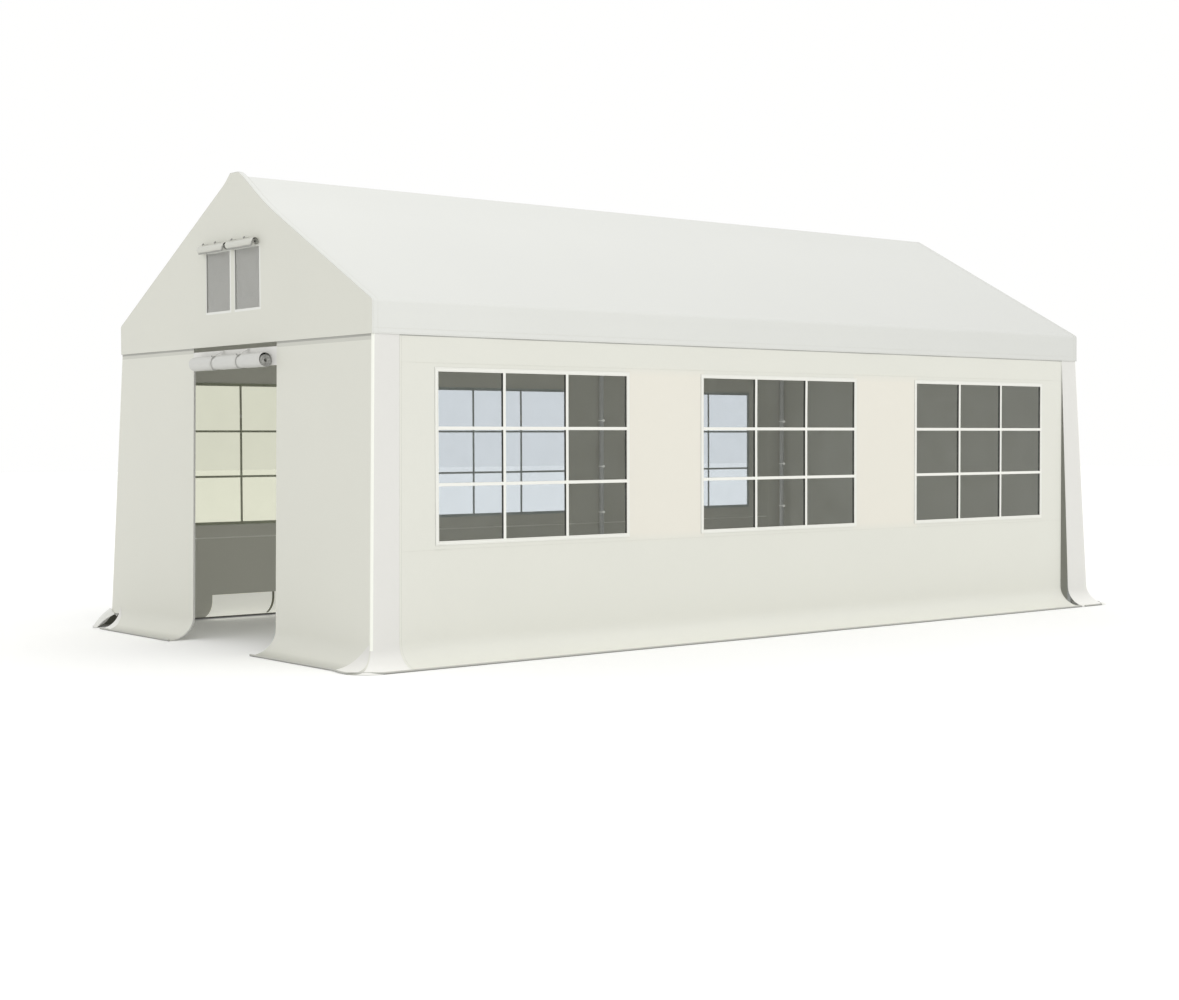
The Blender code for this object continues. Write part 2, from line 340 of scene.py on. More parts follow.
INNER_PAINTED_GLOW = 0.15
# Painted shade: the roof cloth is darker towards the back end and down towards the eaves.
roof_painted_shade_fades = [("y", -3.0, 3.0, 0.91), ("z", 2.5, 1.95, 0.955)]
# Painted light and shade: the side walls' skirts are lighter where they turn up to the sky, and darker in
# their last few centimetres at the ground.
side_skirt_light_and_shade_fades = [("up", 0.22, 0.05, 1.16), ("up", 0.03, 0.0, 0.80)]
# Painted light and shade: the end walls' skirts are a little lighter where they turn out, and darker over
# their last 12 cm down to the ground.
end_skirt_light_and_shade_fades = [("up", 0.22, 0.12, 1.05), ("up", 0.12, 0.0, 0.66)]
roof_finish = cloth_finish("roof_cloth", (0.715, 0.722, 0.690), fades=roof_painted_shade_fades)
gable_finish = cloth_finish("gable_cloth", (0.650, 0.650, 0.587))
end_wall_finish = cloth_finish("end_wall_cloth", (0.660, 0.660, 0.597), fades=end_skirt_light_and_shade_fades)
# Painted light: the corner cloth is lighter down its skirt, where it turns up to the sky.
edge_finish = cloth_finish("corner_cloth", (0.690, 0.684, 0.655), fades=[("up", 0.22, 0.05, 1.28)])
vent_hem_finish = cloth_finish("vent_hem_cloth", (0.73, 0.735, 0.70))
# Painted highlight: the corners' piping is whiter cloth, and its extra brightness stands in for the rounded
# corners' highlight.
piping_highlight_finish = cloth_finish("piping_cloth_painted_highlight", (0.86, 0.87, 0.80), 0.4)
hem_finish = cloth_finish("window_hem_cloth", (0.80, 0.80, 0.75), 0.4)
# Painted shade: the door roll is a darker copy of the end wall's cloth.
roll_shade_finish = cloth_finish("rolled_cloth_painted_shade", (0.585, 0.585, 0.560))
# Painted shade: the vent flaps are a darker copy of the gable's cloth.
flap_shade_finish = cloth_finish("vent_flap_cloth_painted_shade", (0.60, 0.60, 0.55))
rolled_in_finish = cloth_finish("rolled_inside", (0.40, 0.40, 0.37), 0.6)
# Painted shade: a near-black copy of the inner cloth, used inside the beak, under the lip and along the side
# walls' foot.
shade_finish = cloth_finish("painted_shade_inside", (0.14, 0.14, 0.11), 0.6)
inner_finish = cloth_finish("inner_cloth", (0.42, 0.42, 0.37), 0.6, INNER_PAINTED_GLOW)
# Painted light: the inner skirt is painted white and glows, standing in for daylight through the thin skirt.
inner_skirt_glow_finish = cloth_finish("inner_skirt_painted_glow", (0.80, 0.80, 0.74), 0.55, 0.35)
# Painted shadow: grey bands just under the valance's edge, darkest at the top and softer below.
end_valance_shadow_finish = cloth_finish("end_valance_painted_shadow", (0.38, 0.38, 0.35), 0.7)
side_valance_shadow_finish = cloth_finish("side_valance_painted_shadow", (0.43, 0.43, 0.40), 0.7)
valance_shadow_edge_finish = cloth_finish("valance_painted_shadow_edge", (0.56, 0.56, 0.51), 0.7)
print("cloth threads every", THREAD_PITCH * 1000, "mm")

# %% [markdown]
# ## Other finishes
# Galvanised steel has a crystal spangle. The window film is a clear sheet that tints what is
# behind it and shines a little more at a slant. The left wall's first film is tinted warm and the
# other two cool: painted light. The net's threads and the zips are dull plastic.

# %% Other finishes
SPECK_RELIEF = 0.00008
FILM_RELIEF = 0.004
FILM_GREY = (0.55, 0.56, 0.55, 1.0)


def steel_finish():
    finish, sketch = new_finish("galvanised_steel")
    spangle = sketch.node("ShaderNodeTexVoronoi", {"Vector": sketch.place(), "Scale": 130.0})
    flake = sketch.node("ShaderNodeSeparateXYZ", {0: spangle.outputs["Color"]})
    tone, dull = Wire(sketch, flake.outputs[0]), sketch.noise(9.0, 3.0)
    colour = sketch.blend(tone * 0.7 + dull * 0.3, (0.62, 0.63, 0.64), (0.78, 0.79, 0.80))
    return close_coat(finish, sketch, {"Base Color": colour, "Metallic": 0.35,
                                       "Roughness": 0.36 + tone * 0.12 + dull * 0.08})


def plain_finish(name, colour, roughness, grain=300.0, fades=(), glow=0.0):
    """Dull plastic or webbing with a fine speck."""
    finish, sketch = new_finish(name)
    speck = sketch.noise(grain)
    tint = faded(sketch, coordinates(sketch), sketch.vary(speck, colour, 0.1), fades)
    return close_coat(finish, sketch, {"Base Color": tint, "Roughness": roughness + (speck - 0.5) * 0.1,
                                       "Normal": sketch.bump(speck * SPECK_RELIEF)}, colour, glow)


def film_finish(name, tint):
    finish, sketch = new_finish(name)
    haze, wave = sketch.noise(6.0, 3.0), sketch.noise(4.0)
    clear = sketch.node("ShaderNodeBsdfTransparent", {"Color": (*tint, 1.0)})
    gloss = sketch.node("ShaderNodeBsdfPrincipled",
                        {"Base Color": FILM_GREY, "Roughness": 0.12,
                         "Normal": sketch.bump(wave * FILM_RELIEF)})
    slant = sketch.wire("ShaderNodeLayerWeight", {"Blend": 0.18})
    sockets = {0: slant * 0.5 + haze * 0.05, 1: clear.outputs[0], 2: gloss.outputs[0]}
    return close_finish(finish, sketch, sketch.node("ShaderNodeMixShader", sockets))


steel = steel_finish()
neutral_film = film_finish("clear_film_neutral", (0.883, 0.886, 0.883))
# Painted light: warm and cool tints for the left wall's films.
film_painted_warm_light = film_finish("clear_film_painted_warm_light", (0.832, 0.836, 0.758))
film_painted_cool_light = film_finish("clear_film_painted_cool_light", (0.905, 0.937, 0.971))
net_finish = plain_finish("net_thread", (0.64, 0.64, 0.61), 0.6)
bar_side_shade_finish = plain_finish("bar_side_painted_shade", (0.055, 0.055, 0.045), 0.6)
# Olive binding for the zips and the inner straps, also the painted shadow of the doorway's top cord.
olive_and_shadow_finish = plain_finish("olive_binding_and_painted_shadow", (0.20, 0.20, 0.15), 0.6)
bar_back_finish = plain_finish("bar_back", (0.60, 0.62, 0.58), 0.6)
strap_finish = plain_finish("grey_webbing", (0.54, 0.54, 0.51), 0.6)
# Grey plastic for the toggles, also used for the dark cords at the vents that are painted shadow.
toggle_and_shadow_cord_finish = plain_finish("grey_plastic_and_painted_shadow", (0.30, 0.30, 0.28), 0.4)
# Painted light: the ties' white plastic glows a little.
white_plastic_painted_glow = plain_finish("white_plastic_painted_glow", (0.85, 0.85, 0.82), 0.4, glow=0.30)
thread_finish = plain_finish("sewing_thread", (0.62, 0.62, 0.57), 0.7)
# Painted shade: the hem rope is grey and darker still towards the ground, standing in for the contact shadow
# under the skirt's edge.
rope_shade_finish = plain_finish("hem_rope", (0.52, 0.52, 0.48), 0.7, fades=[("z", 0.011, 0.003, 0.5)])
for node in nodes.values():
    if node.name.startswith(("leg_", "roof_bow_", "eave_rail_", "ridge_rail_")):
        for material_slot in node.material_slots:
            material_slot.material = steel
print("finishes:", len(bpy.data.materials))


# %% [markdown]
# ## A loom for panels
# Each panel is a fine grid on the cloth's outer face, laid over a function that places a point
# of the flat cut in space. Key lines, such as hems and window edges, always fall on the grid.
# Openings are cells left out. Solidify then gives the cloth its thickness inwards, with the
# inner finishes in the second half of the material list, and the result becomes a plain mesh.

# %% The loom
def spread(keys, step):
    """Grid lines through the key values, no further apart than a step."""
    lines = []
    for start, end in zip(keys, keys[1:]):
        count = max(1, ceil(abs(end - start) / step - 1e-6))
        lines += [start + (end - start) * number / count for number in range(count)]
    return lines + [keys[-1]]


def finished(piece, sharp=40.0):
    """The piece as its modifiers leave it, as a plain mesh."""
    bpy.context.view_layer.update()
    made = piece.evaluated_get(bpy.context.evaluated_depsgraph_get())
    mesh = bpy.data.meshes.new_from_object(made)
    mesh.name = piece.name
    if piece.type != "MESH":
        name = piece.name
        bpy.data.objects.remove(piece)
        piece = new_object(name, mesh)
    piece.modifiers.clear()
    piece.data = mesh
    mesh.shade_smooth()
    mesh.set_sharp_from_angle(angle=radians(sharp))
    return piece


def weave(name, columns, rows, place, outer, inner, opening=None, paint=None, thick=CLOTH, sharp=40.0):
    """A panel of cloth. Its finishes are lists of the same length, chosen by paint(column, row)."""
    points, faces, corners, finish_of = [], [], [], []
    number = {}
    for across, (left, right) in enumerate(zip(columns, columns[1:])):
        for up, (low, high) in enumerate(zip(rows, rows[1:])):
            middle = ((left + right) / 2, (low + high) / 2)
            if opening and opening(*middle):
                continue
            face = []
            for column, row in ((across, up), (across + 1, up), (across + 1, up + 1), (across, up + 1)):
                if (column, row) not in number:
                    number[column, row] = len(points)
                    points.append(place(columns[column], rows[row]))
                face.append(number[column, row])
                corners.append((columns[column], rows[row]))
            faces.append(face)
            finish_of.append(paint(*middle) if paint else 0)
    mesh = bpy.data.meshes.new(name)
    mesh.from_pydata(points, [], faces)
    cut = mesh.uv_layers.new(name="cut")
    cut.data.foreach_set("uv", [value for corner in corners for value in corner])
    mesh.polygons.foreach_set("material_index", finish_of)
    for finish in [*outer, *inner]:
        mesh.materials.append(finish)
    piece = new_object(name, mesh)
    solid = piece.modifiers.new("thickness", "SOLIDIFY")
    solid.thickness = thick
    solid.offset = -1.0
    solid.use_even_offset = True
    solid.material_offset = len(outer)
    return finished(piece, sharp)


def flat_area(piece):
    """The cloth's own area: half of a thin closed panel's surface."""
    return sum(polygon.area for polygon in piece.data.polygons) / 2


def settle(piece, slot, *stands_for):
    """The piece rides with the tent and stands for its CAD nodes; its slot is not used."""
    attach(piece, "root")
    if stands_for:
        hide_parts(*stands_for)
    print(f"{piece.name}: {len(piece.data.polygons)} faces")
    return piece


def half_turned(point, turned):
    """The point at the back end that matches one at the front end."""
    x, y, z = point
    return (-x, -y, z) if turned else (x, y, z)


def wobble(first, second, seed):
    """A smooth number from -1 to 1 that wanders over two coordinates."""
    return noise.noise(Vector((first, second, seed)))


# %% [markdown]
# ## Stitches, zips and other rows
# A row of like things along a line is one Geometry Nodes tree: the line is cut into equal
# steps, a small block is set on each with its length along the line, and the blocks are made
# real. Stitches, zip teeth and seam dashes only differ in size.

# %% Rows along a line
def new_tree(name, sizes):
    """A tree with named inputs, as its sketch and the sockets that give them."""
    tree = bpy.data.node_groups.new(name, "GeometryNodeTree")
    sketch = Sketch(tree)
    sockets = [("Geometry", "Geometry", "INPUT"), *((size, kind, "INPUT") for size, kind in sizes),
               ("Finish", "Material", "INPUT"), ("Geometry", "Geometry", "OUTPUT")]
    for socket, kind, way in sockets:
        tree.interface.new_socket(socket, in_out=way, socket_type=f"NodeSocket{kind}")
    return sketch, sketch.node("NodeGroupInput").outputs


def close_tree(sketch, geometry, given):
    """Makes the instances real and gives them their finish."""
    real = sketch.node("GeometryNodeRealizeInstances", {"Geometry": geometry})
    made = sketch.node("GeometryNodeSetMaterial",
                       {"Geometry": real.outputs[0], "Material": given["Finish"]})
    sketch.node("NodeGroupOutput", {"Geometry": made.outputs[0]})
    return sketch.tree


def row_tree():
    sketch, given = new_tree("row_of_blocks", [("Pitch", "Float"), ("Size", "Vector")])
    line = sketch.node("GeometryNodeResampleCurve",
                       {"Curve": given["Geometry"], "Length": given["Pitch"]}, mode="LENGTH")
    along = sketch.node("GeometryNodeInputTangent")
    turned = sketch.node("FunctionNodeAlignRotationToVector", {"Vector": along.outputs[0]}, axis="X")
    block = sketch.node("GeometryNodeMeshCube", {"Size": given["Size"]})
    placed = sketch.node("GeometryNodeInstanceOnPoints",
                         {"Points": line.outputs[0], "Instance": block.outputs["Mesh"],
                          "Rotation": turned.outputs[0]})
    return close_tree(sketch, placed.outputs[0], given)


def grow(piece, tree, **sizes):
    """Runs a Geometry Nodes tree on the piece with its inputs set by name, and keeps the mesh."""
    modifier = piece.modifiers.new("grow", "NODES")
    modifier.node_group = tree
    for item in tree.interface.items_tree:
        if item.in_out == "INPUT" and item.name in sizes:
            modifier[item.identifier] = sizes[item.name]
    return finished(piece)


def empty_mesh(name):
    return new_object(name, bpy.data.meshes.new(name))


def lines_object(name, routes):
    """A curve object with one straight-jointed spline for each route."""
    curve = bpy.data.curves.new(name, "CURVE")
    curve.dimensions = "3D"
    for route in routes:
        spline = curve.splines.new("POLY")
        spline.points.add(len(route) - 1)
        for point, place in zip(spline.points, route):
            point.co = (*place, 1.0)
    return new_object(name, curve)


block_row = row_tree()
STITCH_PITCH = 0.009
STITCH_SIZE = (0.0055, 0.0012, 0.0012)


def stitch(name, routes, finish=thread_finish, pitch=STITCH_PITCH, size=STITCH_SIZE):
    return grow(lines_object(name, routes), block_row, Pitch=pitch, Size=size, Finish=finish)


def tube_tree():
    """A round cord along the given curve, closed at its ends."""
    sketch, given = new_tree("round_cord", [("Radius", "Float")])
    ring = sketch.node("GeometryNodeCurvePrimitiveCircle", {"Resolution": 8, "Radius": given["Radius"]})
    cord = sketch.node("GeometryNodeCurveToMesh",
                       {"Curve": given["Geometry"], "Profile Curve": ring.outputs[0], "Fill Caps": True})
    return close_tree(sketch, cord.outputs[0], given)


round_cord = tube_tree()


def piping(name, routes, radius, finish):
    return grow(lines_object(name, routes), round_cord, Radius=radius, Finish=finish)


print("a stitch every", STITCH_PITCH * 1000, "mm")

# %% [markdown]
# ## Roof cover
# One sheet runs from valance to valance over both slopes. Its section is a chain of runs and
# turns: half the ridge's turn, the slope, the eave's turn and the hanging valance. Between the
# bows the cloth sags by its own weight, and the free valance ripples a little. Tracing the
# section by its own length keeps the flat cut's size, which a set of flat planes would not.

# %% Roof section
RIDGE_TURN_R = 0.045
EAVE_TURN_R = 0.022
SLOPE_SAG = 0.012
PEAK_TOP_Z = RIDGE_Z + 0.007
PEAK_LEFT, PEAK_RIGHT = -0.018, 0.075
PEAK_LEFT_FALL, PEAK_RIGHT_FALL = 0.05, 0.22
PEAK_REACH = 0.03
PEAK_FADE = 0.018
ROOF_WAVE, VALANCE_RIPPLE = 0.0012, 0.0018

eave_turn = pi / 2 - SLANT
slope_run = (hypot(HALF_W, RIDGE_Z - EAVE_Z) - RIDGE_TURN_R * tan(SLANT)
             - EAVE_TURN_R * tan(eave_turn / 2))
valance_run = EAVE_Z - VALANCE_Z - EAVE_TURN_R * tan(eave_turn / 2)
section = [(RIDGE_TURN_R, SLANT), (None, slope_run), (EAVE_TURN_R, eave_turn), (None, valance_run)]
section_ends = []
for radius, amount in section:
    section_ends.append((section_ends[-1] if section_ends else 0.0) + (amount * radius if radius else amount))
SECTION_HALF = section_ends[-1]
ridge_top = RIDGE_Z - RIDGE_TURN_R / cos(SLANT) + RIDGE_TURN_R


def section_point(distance):
    """Place and outward normal on the right half of the roof's section, from the ridge down."""
    x, z, heading, left = 0.0, ridge_top, 0.0, distance
    for radius, amount in section:
        length = amount * radius if radius else amount
        part = min(left, length)
        if radius:
            bend = part / radius
            x += radius * (sin(heading + bend) - sin(heading))
            z -= radius * (cos(heading) - cos(heading + bend))
            heading += bend
        else:
            x += part * cos(heading)
            z -= part * sin(heading)
        left -= part
        if left <= 1e-9:
            break
    return x, z, sin(heading), cos(heading)


def bay_share(y):
    """0 at every bow, 1 in the middle of a bay."""
    for start, end in zip(BOW_Y, BOW_Y[1:]):
        if start <= y <= end:
            return sin(pi * (y - start) / (end - start))
    return 0.0


def roof_height(x, inset=0.0):
    """Height of the roof's section at x, that far inside its outer face."""
    ridge_r, eave_r = RIDGE_TURN_R - inset, EAVE_TURN_R - inset
    away = abs(x)
    if away < ridge_r * sin(SLANT):
        return ridge_top - RIDGE_TURN_R + sqrt(ridge_r ** 2 - away ** 2)
    bend_x = HALF_W - EAVE_TURN_R
    if away > bend_x + eave_r * sin(SLANT):
        bend_z = EAVE_Z + EAVE_TURN_R * tan(SLANT) - EAVE_TURN_R / cos(SLANT)
        return bend_z + sqrt(max(eave_r ** 2 - (away - bend_x) ** 2, 0.0))
    return EAVE_Z + (HALF_W - away) * tan(SLANT) - inset / cos(SLANT)


def peak_lift(x, y):
    """The hem stands up over the front bow's ridge connector, with a flat top."""
    nearest = min(max(x, PEAK_LEFT), PEAK_RIGHT)
    fall = PEAK_RIGHT_FALL if x > 0 else PEAK_LEFT_FALL
    behind = max(0.0, y + HALF_L - PEAK_REACH)
    fade = exp(-(((x - nearest) / fall) ** 2) - (behind / PEAK_FADE) ** 2)
    return (PEAK_TOP_Z - roof_height(nearest)) * fade


def roof_place(across, y):
    distance = abs(across)
    side = 1.0 if across >= 0 else -1.0
    x, z, out, up = section_point(distance)
    on_slope = min(max((distance - section_ends[0]) / slope_run, 0.0), 1.0)
    shift = -SLOPE_SAG * bay_share(y) * sin(pi * on_slope) ** 0.8
    shift += ROOF_WAVE * wobble(across * 2.2, y * 1.6, 3.0) * sin(pi * on_slope)
    down = max(0.0, distance - section_ends[2]) / valance_run
    shift += VALANCE_RIPPLE * down * (0.7 * sin(y * 9.0 + side) + 0.6 * wobble(y * 3.0, side, 8.0))
    return (side * (x + out * shift), y, z + up * shift + peak_lift(side * x, y))


# %% Roof cover
ROOF_STEP = 0.04
HEM_WIDTH = 0.035

turn_lines = spread([0.0, section_ends[0]], section_ends[0] / 5)[:-1]
slope_lines = spread([section_ends[0], PEAK_RIGHT / cos(SLANT), section_ends[1]], ROOF_STEP / 2)[:-1]
fold_lines = spread([section_ends[1], section_ends[2]], (section_ends[2] - section_ends[1]) / 6)[:-1]
hang_lines = spread([section_ends[2], SECTION_HALF - HEM_WIDTH, SECTION_HALF], ROOF_STEP)
half_lines = turn_lines + slope_lines + fold_lines + hang_lines
across_lines = [-line for line in reversed(half_lines[1:])] + half_lines
front_keys = [-HALF_L, -HALF_L + PEAK_REACH, -HALF_L + 2.5 * PEAK_REACH]
along_lines = spread(front_keys, 0.010) + spread([front_keys[-1], *BOW_Y[1:], HALF_L], 0.06)[1:]
roof_cover = weave("roof_cloth", across_lines, along_lines, roof_place, [roof_finish], [inner_finish])
roof_cut = (2 * SECTION_HALF, 2 * HALF_L)
print("roof cut:", [round(side, 3) for side in roof_cut], "area", round(flat_area(roof_cover), 2))

# %% [markdown]
# ## Gables
# A gable is a triangle under the roof with a strip that hangs down to the valance line. Its top
# edge follows the roof's own rounded section, one cloth further in, so the two close without a
# gap. Two vents are cut through it, and each opening has a narrow welded hem.

# %% Gable outline
VENT_HEM = 0.014
SCREEN_LAP = 0.014
screens = {name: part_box(name) for name in nodes if name.startswith("vent_screen_front")}
vents = []
for name, (low, high) in sorted(screens.items()):
    vents.append((low.x + SCREEN_LAP, high.x - SCREEN_LAP, low.z + SCREEN_LAP, high.z - SCREEN_LAP))
print("vents:", [[round(value, 3) for value in vent] for vent in vents])


def vent_at(x, z):
    """How far a place is outside the nearest vent's opening; negative inside it."""
    return min(max(left - x, x - right, low - z, z - high) for left, right, low, high in vents)


# %% Gables
GABLE_STEP = 0.04
GABLE_HALF = HALF_W - CLOTH - 0.0006
GABLE_BELLY, STRIP_RIPPLE, STRIP_DROP = 0.0024, 0.0015, 0.18
GABLE_UNDER = CLOTH + 0.0004
GABLE_STEP_UP = 0.09
GABLE_WAVE, VENT_FADE = 3.1, 0.35
LOW_MARK, MIDDLE_MARK, HIGH_MARK = 0.5, 0.55, 0.75

vent_x = sorted({value for vent in vents for value in vent[:2]})
vent_z = [vents[0][2], vents[0][3]]


def gable_place(turned):
    def place(x, share):
        """share 0 to 1 is the hanging strip, 1 to 2 beside the vents, 2 to 3 above them."""
        top = roof_height(x, GABLE_UNDER) + (0.0 if turned else peak_lift(x, -HALF_L))
        inner = min(1.0, max(0.0, (abs(x) - vent_x[-1] - VENT_HEM) / VENT_FADE))
        low = vent_z[0] - VENT_HEM
        high = vent_z[1] + VENT_HEM
        middle = max(low + (top - low) * MIDDLE_MARK, VALANCE_Z)
        high = high + (middle - high) * inner if top > low else top
        marks = [VALANCE_Z, min(low, VALANCE_Z + (top - VALANCE_Z) * LOW_MARK), 0.0, top]
        marks[2] = min(high, marks[1] + (top - marks[1]) * HIGH_MARK)
        part = min(int(share), 2)
        z = marks[part] + (marks[part + 1] - marks[part]) * (share - part)
        rise = min(max((z - VALANCE_Z) / (RIDGE_Z - VALANCE_Z), 0.0), 1.0)
        belly = sin(pi * rise) * cos(pi * x / GABLE_WAVE)
        shift = GABLE_BELLY * belly * wobble(x * 1.1, z * 1.3, 5.0)
        shift += STRIP_RIPPLE * wobble(x * 4.0, z * 0.7, 9.0) * max(0.0, (EAVE_Z - z) / STRIP_DROP)
        return half_turned((x, -HALF_L - shift, z), turned)
    return place


def share_of_height(z):
    """The row of gable_place that is this height beside the vents."""
    low, high = vent_z[0] - VENT_HEM, vent_z[1] + VENT_HEM
    return 1.0 + (z - low) / (high - low)


hem_lines = sorted({value + sign * VENT_HEM for value in vent_x for sign in (-1, 1)} | set(vent_x))
eave_bend = GABLE_HALF - EAVE_TURN_R
eave_lines = spread([eave_bend, GABLE_HALF], 0.003)
middle_lines = sorted([-1.2, *hem_lines, -0.004, PEAK_RIGHT, 1.2])
gable_columns = [-x for x in reversed(eave_lines)]
gable_columns += spread([-eave_bend, *middle_lines, eave_bend], GABLE_STEP)[1:-1] + eave_lines
hem_shares = [share_of_height(z) for z in vent_z]
gable_rows = (spread([0.0, 0.12, 1.0], 0.2) + spread([1.0, *hem_shares, 2.0], GABLE_STEP_UP)[1:]
              + spread([2.0, 3.0], GABLE_STEP_UP)[1:])


def near_vent(x, share, margin):
    z = vent_z[0] - VENT_HEM + (share - 1.0) * (vent_z[1] - vent_z[0] + 2 * VENT_HEM)
    return 1.0 < share < 2.0 and vent_at(x, z) < margin


def in_vent(x, share):
    return near_vent(x, share, 0.0)


def gable_paint(x, share):
    return 1 if near_vent(x, share, VENT_HEM) else 0


gables = {}
for end, turned in ENDS:
    gables[end] = weave(f"gable_cloth_{end}", gable_columns, gable_rows, gable_place(turned),
                        [gable_finish, vent_hem_finish], [inner_finish, inner_finish], in_vent, gable_paint)
    print(f"gable {end}: area", round(flat_area(gables[end]), 3))

# %% [markdown]
# ## Walls
# The walls hang from under the valances. At the foot each one sweeps outwards in a quarter of
# an ellipse and lies on the ground as a skirt, so every height of a wall has a reach: how far
# its outer face stands from the upright plane. The end walls turn both corners, which lean out
# a little towards the ground.

# %% Wall profile
SKIRT_START_Z = 0.14
WALL_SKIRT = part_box("end_wall_back")[1].y - WALL_Y
CORNER_LEAN, EDGE_LEAN, DOOR_LEAN = 0.062, 0.037, 0.022
SKIRT_STEPS = 14
ROPE_R, ROPE_IN = 0.0065, 0.004
WALL_STEP, ROW_STEP, ROUTE_STEP = 0.05, 0.07, 0.1
CORNER_RETURN = 0.17
DOOR_HALF = 0.5
DOOR_TOP_Z = 1.775
SHADOW_TOP_Z = VALANCE_Z + 0.004

skirt_length = 0.0
skirt_rows = []
for step in (0.0, 0.5, *range(1, SKIRT_STEPS + 1)):
    bend = 0.5 * pi * (1 - step / SKIRT_STEPS)
    row = (1 - cos(bend), SOLID_CLOTH + (SKIRT_START_Z - SOLID_CLOTH) * (1 - sin(bend)))
    if skirt_rows:
        skirt_length += hypot((skirt_rows[-1][0] - row[0]) * WALL_SKIRT, row[1] - skirt_rows[-1][1])
    skirt_rows.append((*row, skirt_length))
skirt_at = {length: (share, z) for share, z, length in skirt_rows}
skirt_lengths = list(skirt_at)
print("skirt reaches", round(WALL_SKIRT, 3), "m and is", round(skirt_length, 3), "m of cloth")


def cloth_height(z):
    """Length of cloth from the skirt's tip up to a height above the skirt."""
    return skirt_length + z - SKIRT_START_Z


def cloth_rows(heights, step=ROW_STEP):
    """Grid lines up a wall: through the skirt, then through the key heights."""
    return skirt_lengths + [cloth_height(z) for z in spread(heights, step)[1:]]


def skirt_share(length):
    """The skirt's share of its reach, and the height, at a length of cloth above the tip."""
    if length >= skirt_length:
        return 0.0, SKIRT_START_Z + length - skirt_length
    if length in skirt_at:
        return skirt_at[length]
    return min(skirt_rows, key=lambda row: abs(row[2] - length))[:2]


def lean_at(z, lean):
    share = (VALANCE_Z - z) / (VALANCE_Z - SKIRT_START_Z)
    return lean * min(max(share, 0.0), 1.0)


def reach(share, z, lean):
    """Distance of a wall's outer face from its upright plane."""
    out = lean_at(z, lean)
    return out + (WALL_SKIRT - out) * share


# %% [markdown]
# ## End walls
# Each end wall is one panel that runs from one return edge, round the corner, across the front
# and round the other corner. The corners are softly rounded. On the front left corner the
# skirt's two flaps aren't joined, so a narrow beak opens between them; inside it the cloth is
# painted dark as shade. Strips beside the corners are whiter cloth, and the piping on the corners
# is whiter still, its extra brightness a painted highlight.

# %% End walls
CORNER_R, TIP_R = 0.012, 0.13
CORNER_STEPS, END_ROW_STEP = 6, 0.09
BEAK_CUT, BEAK_PULL, BEAK_IN, BEAK_FADE = 0.10, 0.10, 0.09, 0.07
BEAK_TOP = skirt_rows[12][2]
PIPING_FOOT = skirt_rows[13][2]
PATCH_WIDTH = 0.18
# The painted shadow under the end walls' valance runs from here up to the valance.
END_SHADOW_Z = VALANCE_Z - 0.012
END_SHADOW_EDGE_Z = END_SHADOW_Z - 0.020
TIP_BULGE, TIP_BACK, TIP_WIDE, TIP_TURN = 0.028, 0.03, 0.09, 0.05
END_WAVE, END_FLAT, END_HANG = 0.002, 0.2, 0.3
BEAK_ROUND, BEAK_BOW = 0.12, 0.014
front_run = WALL_X - CORNER_R
arc_run = CORNER_R * pi / 2
return_run = WALL_Y - (HALF_L - CORNER_RETURN) - CORNER_R
END_HALF = front_run + arc_run + return_run


def beak_rise(share):
    """How far a straight fold stands above the skirt's hollow curve."""
    straight = (SKIRT_START_Z - SOLID_CLOTH) * (sqrt(1.0 - (1.0 - share) ** 2) - share)
    return min(1.0, share / BEAK_ROUND) * (straight + BEAK_BOW * sin(pi * share ** 1.5))


def tip_bulge(share, beak, away):
    """The joined corners' flaps stand a little fuller near the tip."""
    return (1.0 - beak) * TIP_BULGE * share ** 3 * exp(-(away / TIP_WIDE) ** 2)


def end_wall_point(u, length, lift=0.0, beak_side=0):
    """A point of the front end wall's outer face, lifted by a distance along its normal."""
    share, z = skirt_share(length)
    side, along = (1.0, u) if u >= 0 else (-1.0, -u)
    beak = 1.0 if side == beak_side else 0.0
    corner_out, door_out = reach(share, z, CORNER_LEAN), reach(share, z, DOOR_LEAN)
    corner_x, corner_y = WALL_X + corner_out - beak * BEAK_IN * share, WALL_Y + corner_out
    round_r = CORNER_R + (TIP_R - CORNER_R) * share ** 2 * (1.0 - beak)
    wave = END_WAVE * wobble(u * 2.0, z * 1.5, 12.0) * min(1.0, max(0.0, (VALANCE_Z - z) / END_HANG))
    if along <= front_run:
        near = max(0.0, (along - DOOR_HALF) / (front_run - DOOR_HALF))
        out = door_out + (corner_out - door_out) * near
        x = min(along, DOOR_HALF) + near * (corner_x - round_r - DOOR_HALF)
        pull = beak * (BEAK_PULL - BEAK_IN) * share * exp(-((front_run - BEAK_CUT - along) / END_FLAT) ** 2)
        flat = min(1.0, (front_run - along) / END_FLAT)
        bulge = tip_bulge(share, beak, along - front_run + TIP_BACK)
        return (side * (x - pull), -(WALL_Y + out + lift + wave * flat + bulge), z)
    if along <= front_run + arc_run:
        turn = (along - front_run) / CORNER_R
        bulge = tip_bulge(share, beak, TIP_BACK + turn * TIP_TURN)
        return (side * (corner_x - round_r + (round_r + lift) * sin(turn)),
                -(corner_y - round_r + (round_r + lift) * cos(turn) + bulge), z)
    part = (along - front_run - arc_run) / return_run
    edge_y = HALF_L - CORNER_RETURN + lean_at(z, EDGE_LEAN)
    edge_x = WALL_X + reach(share, z, EDGE_LEAN)
    y = corner_y - round_r - part * (corner_y - round_r - edge_y)
    rise = beak * beak_rise(share) * exp(-(part * return_run / BEAK_FADE) ** 2)
    return (side * (corner_x + (edge_x - corner_x) * part + lift), -y, z + rise)


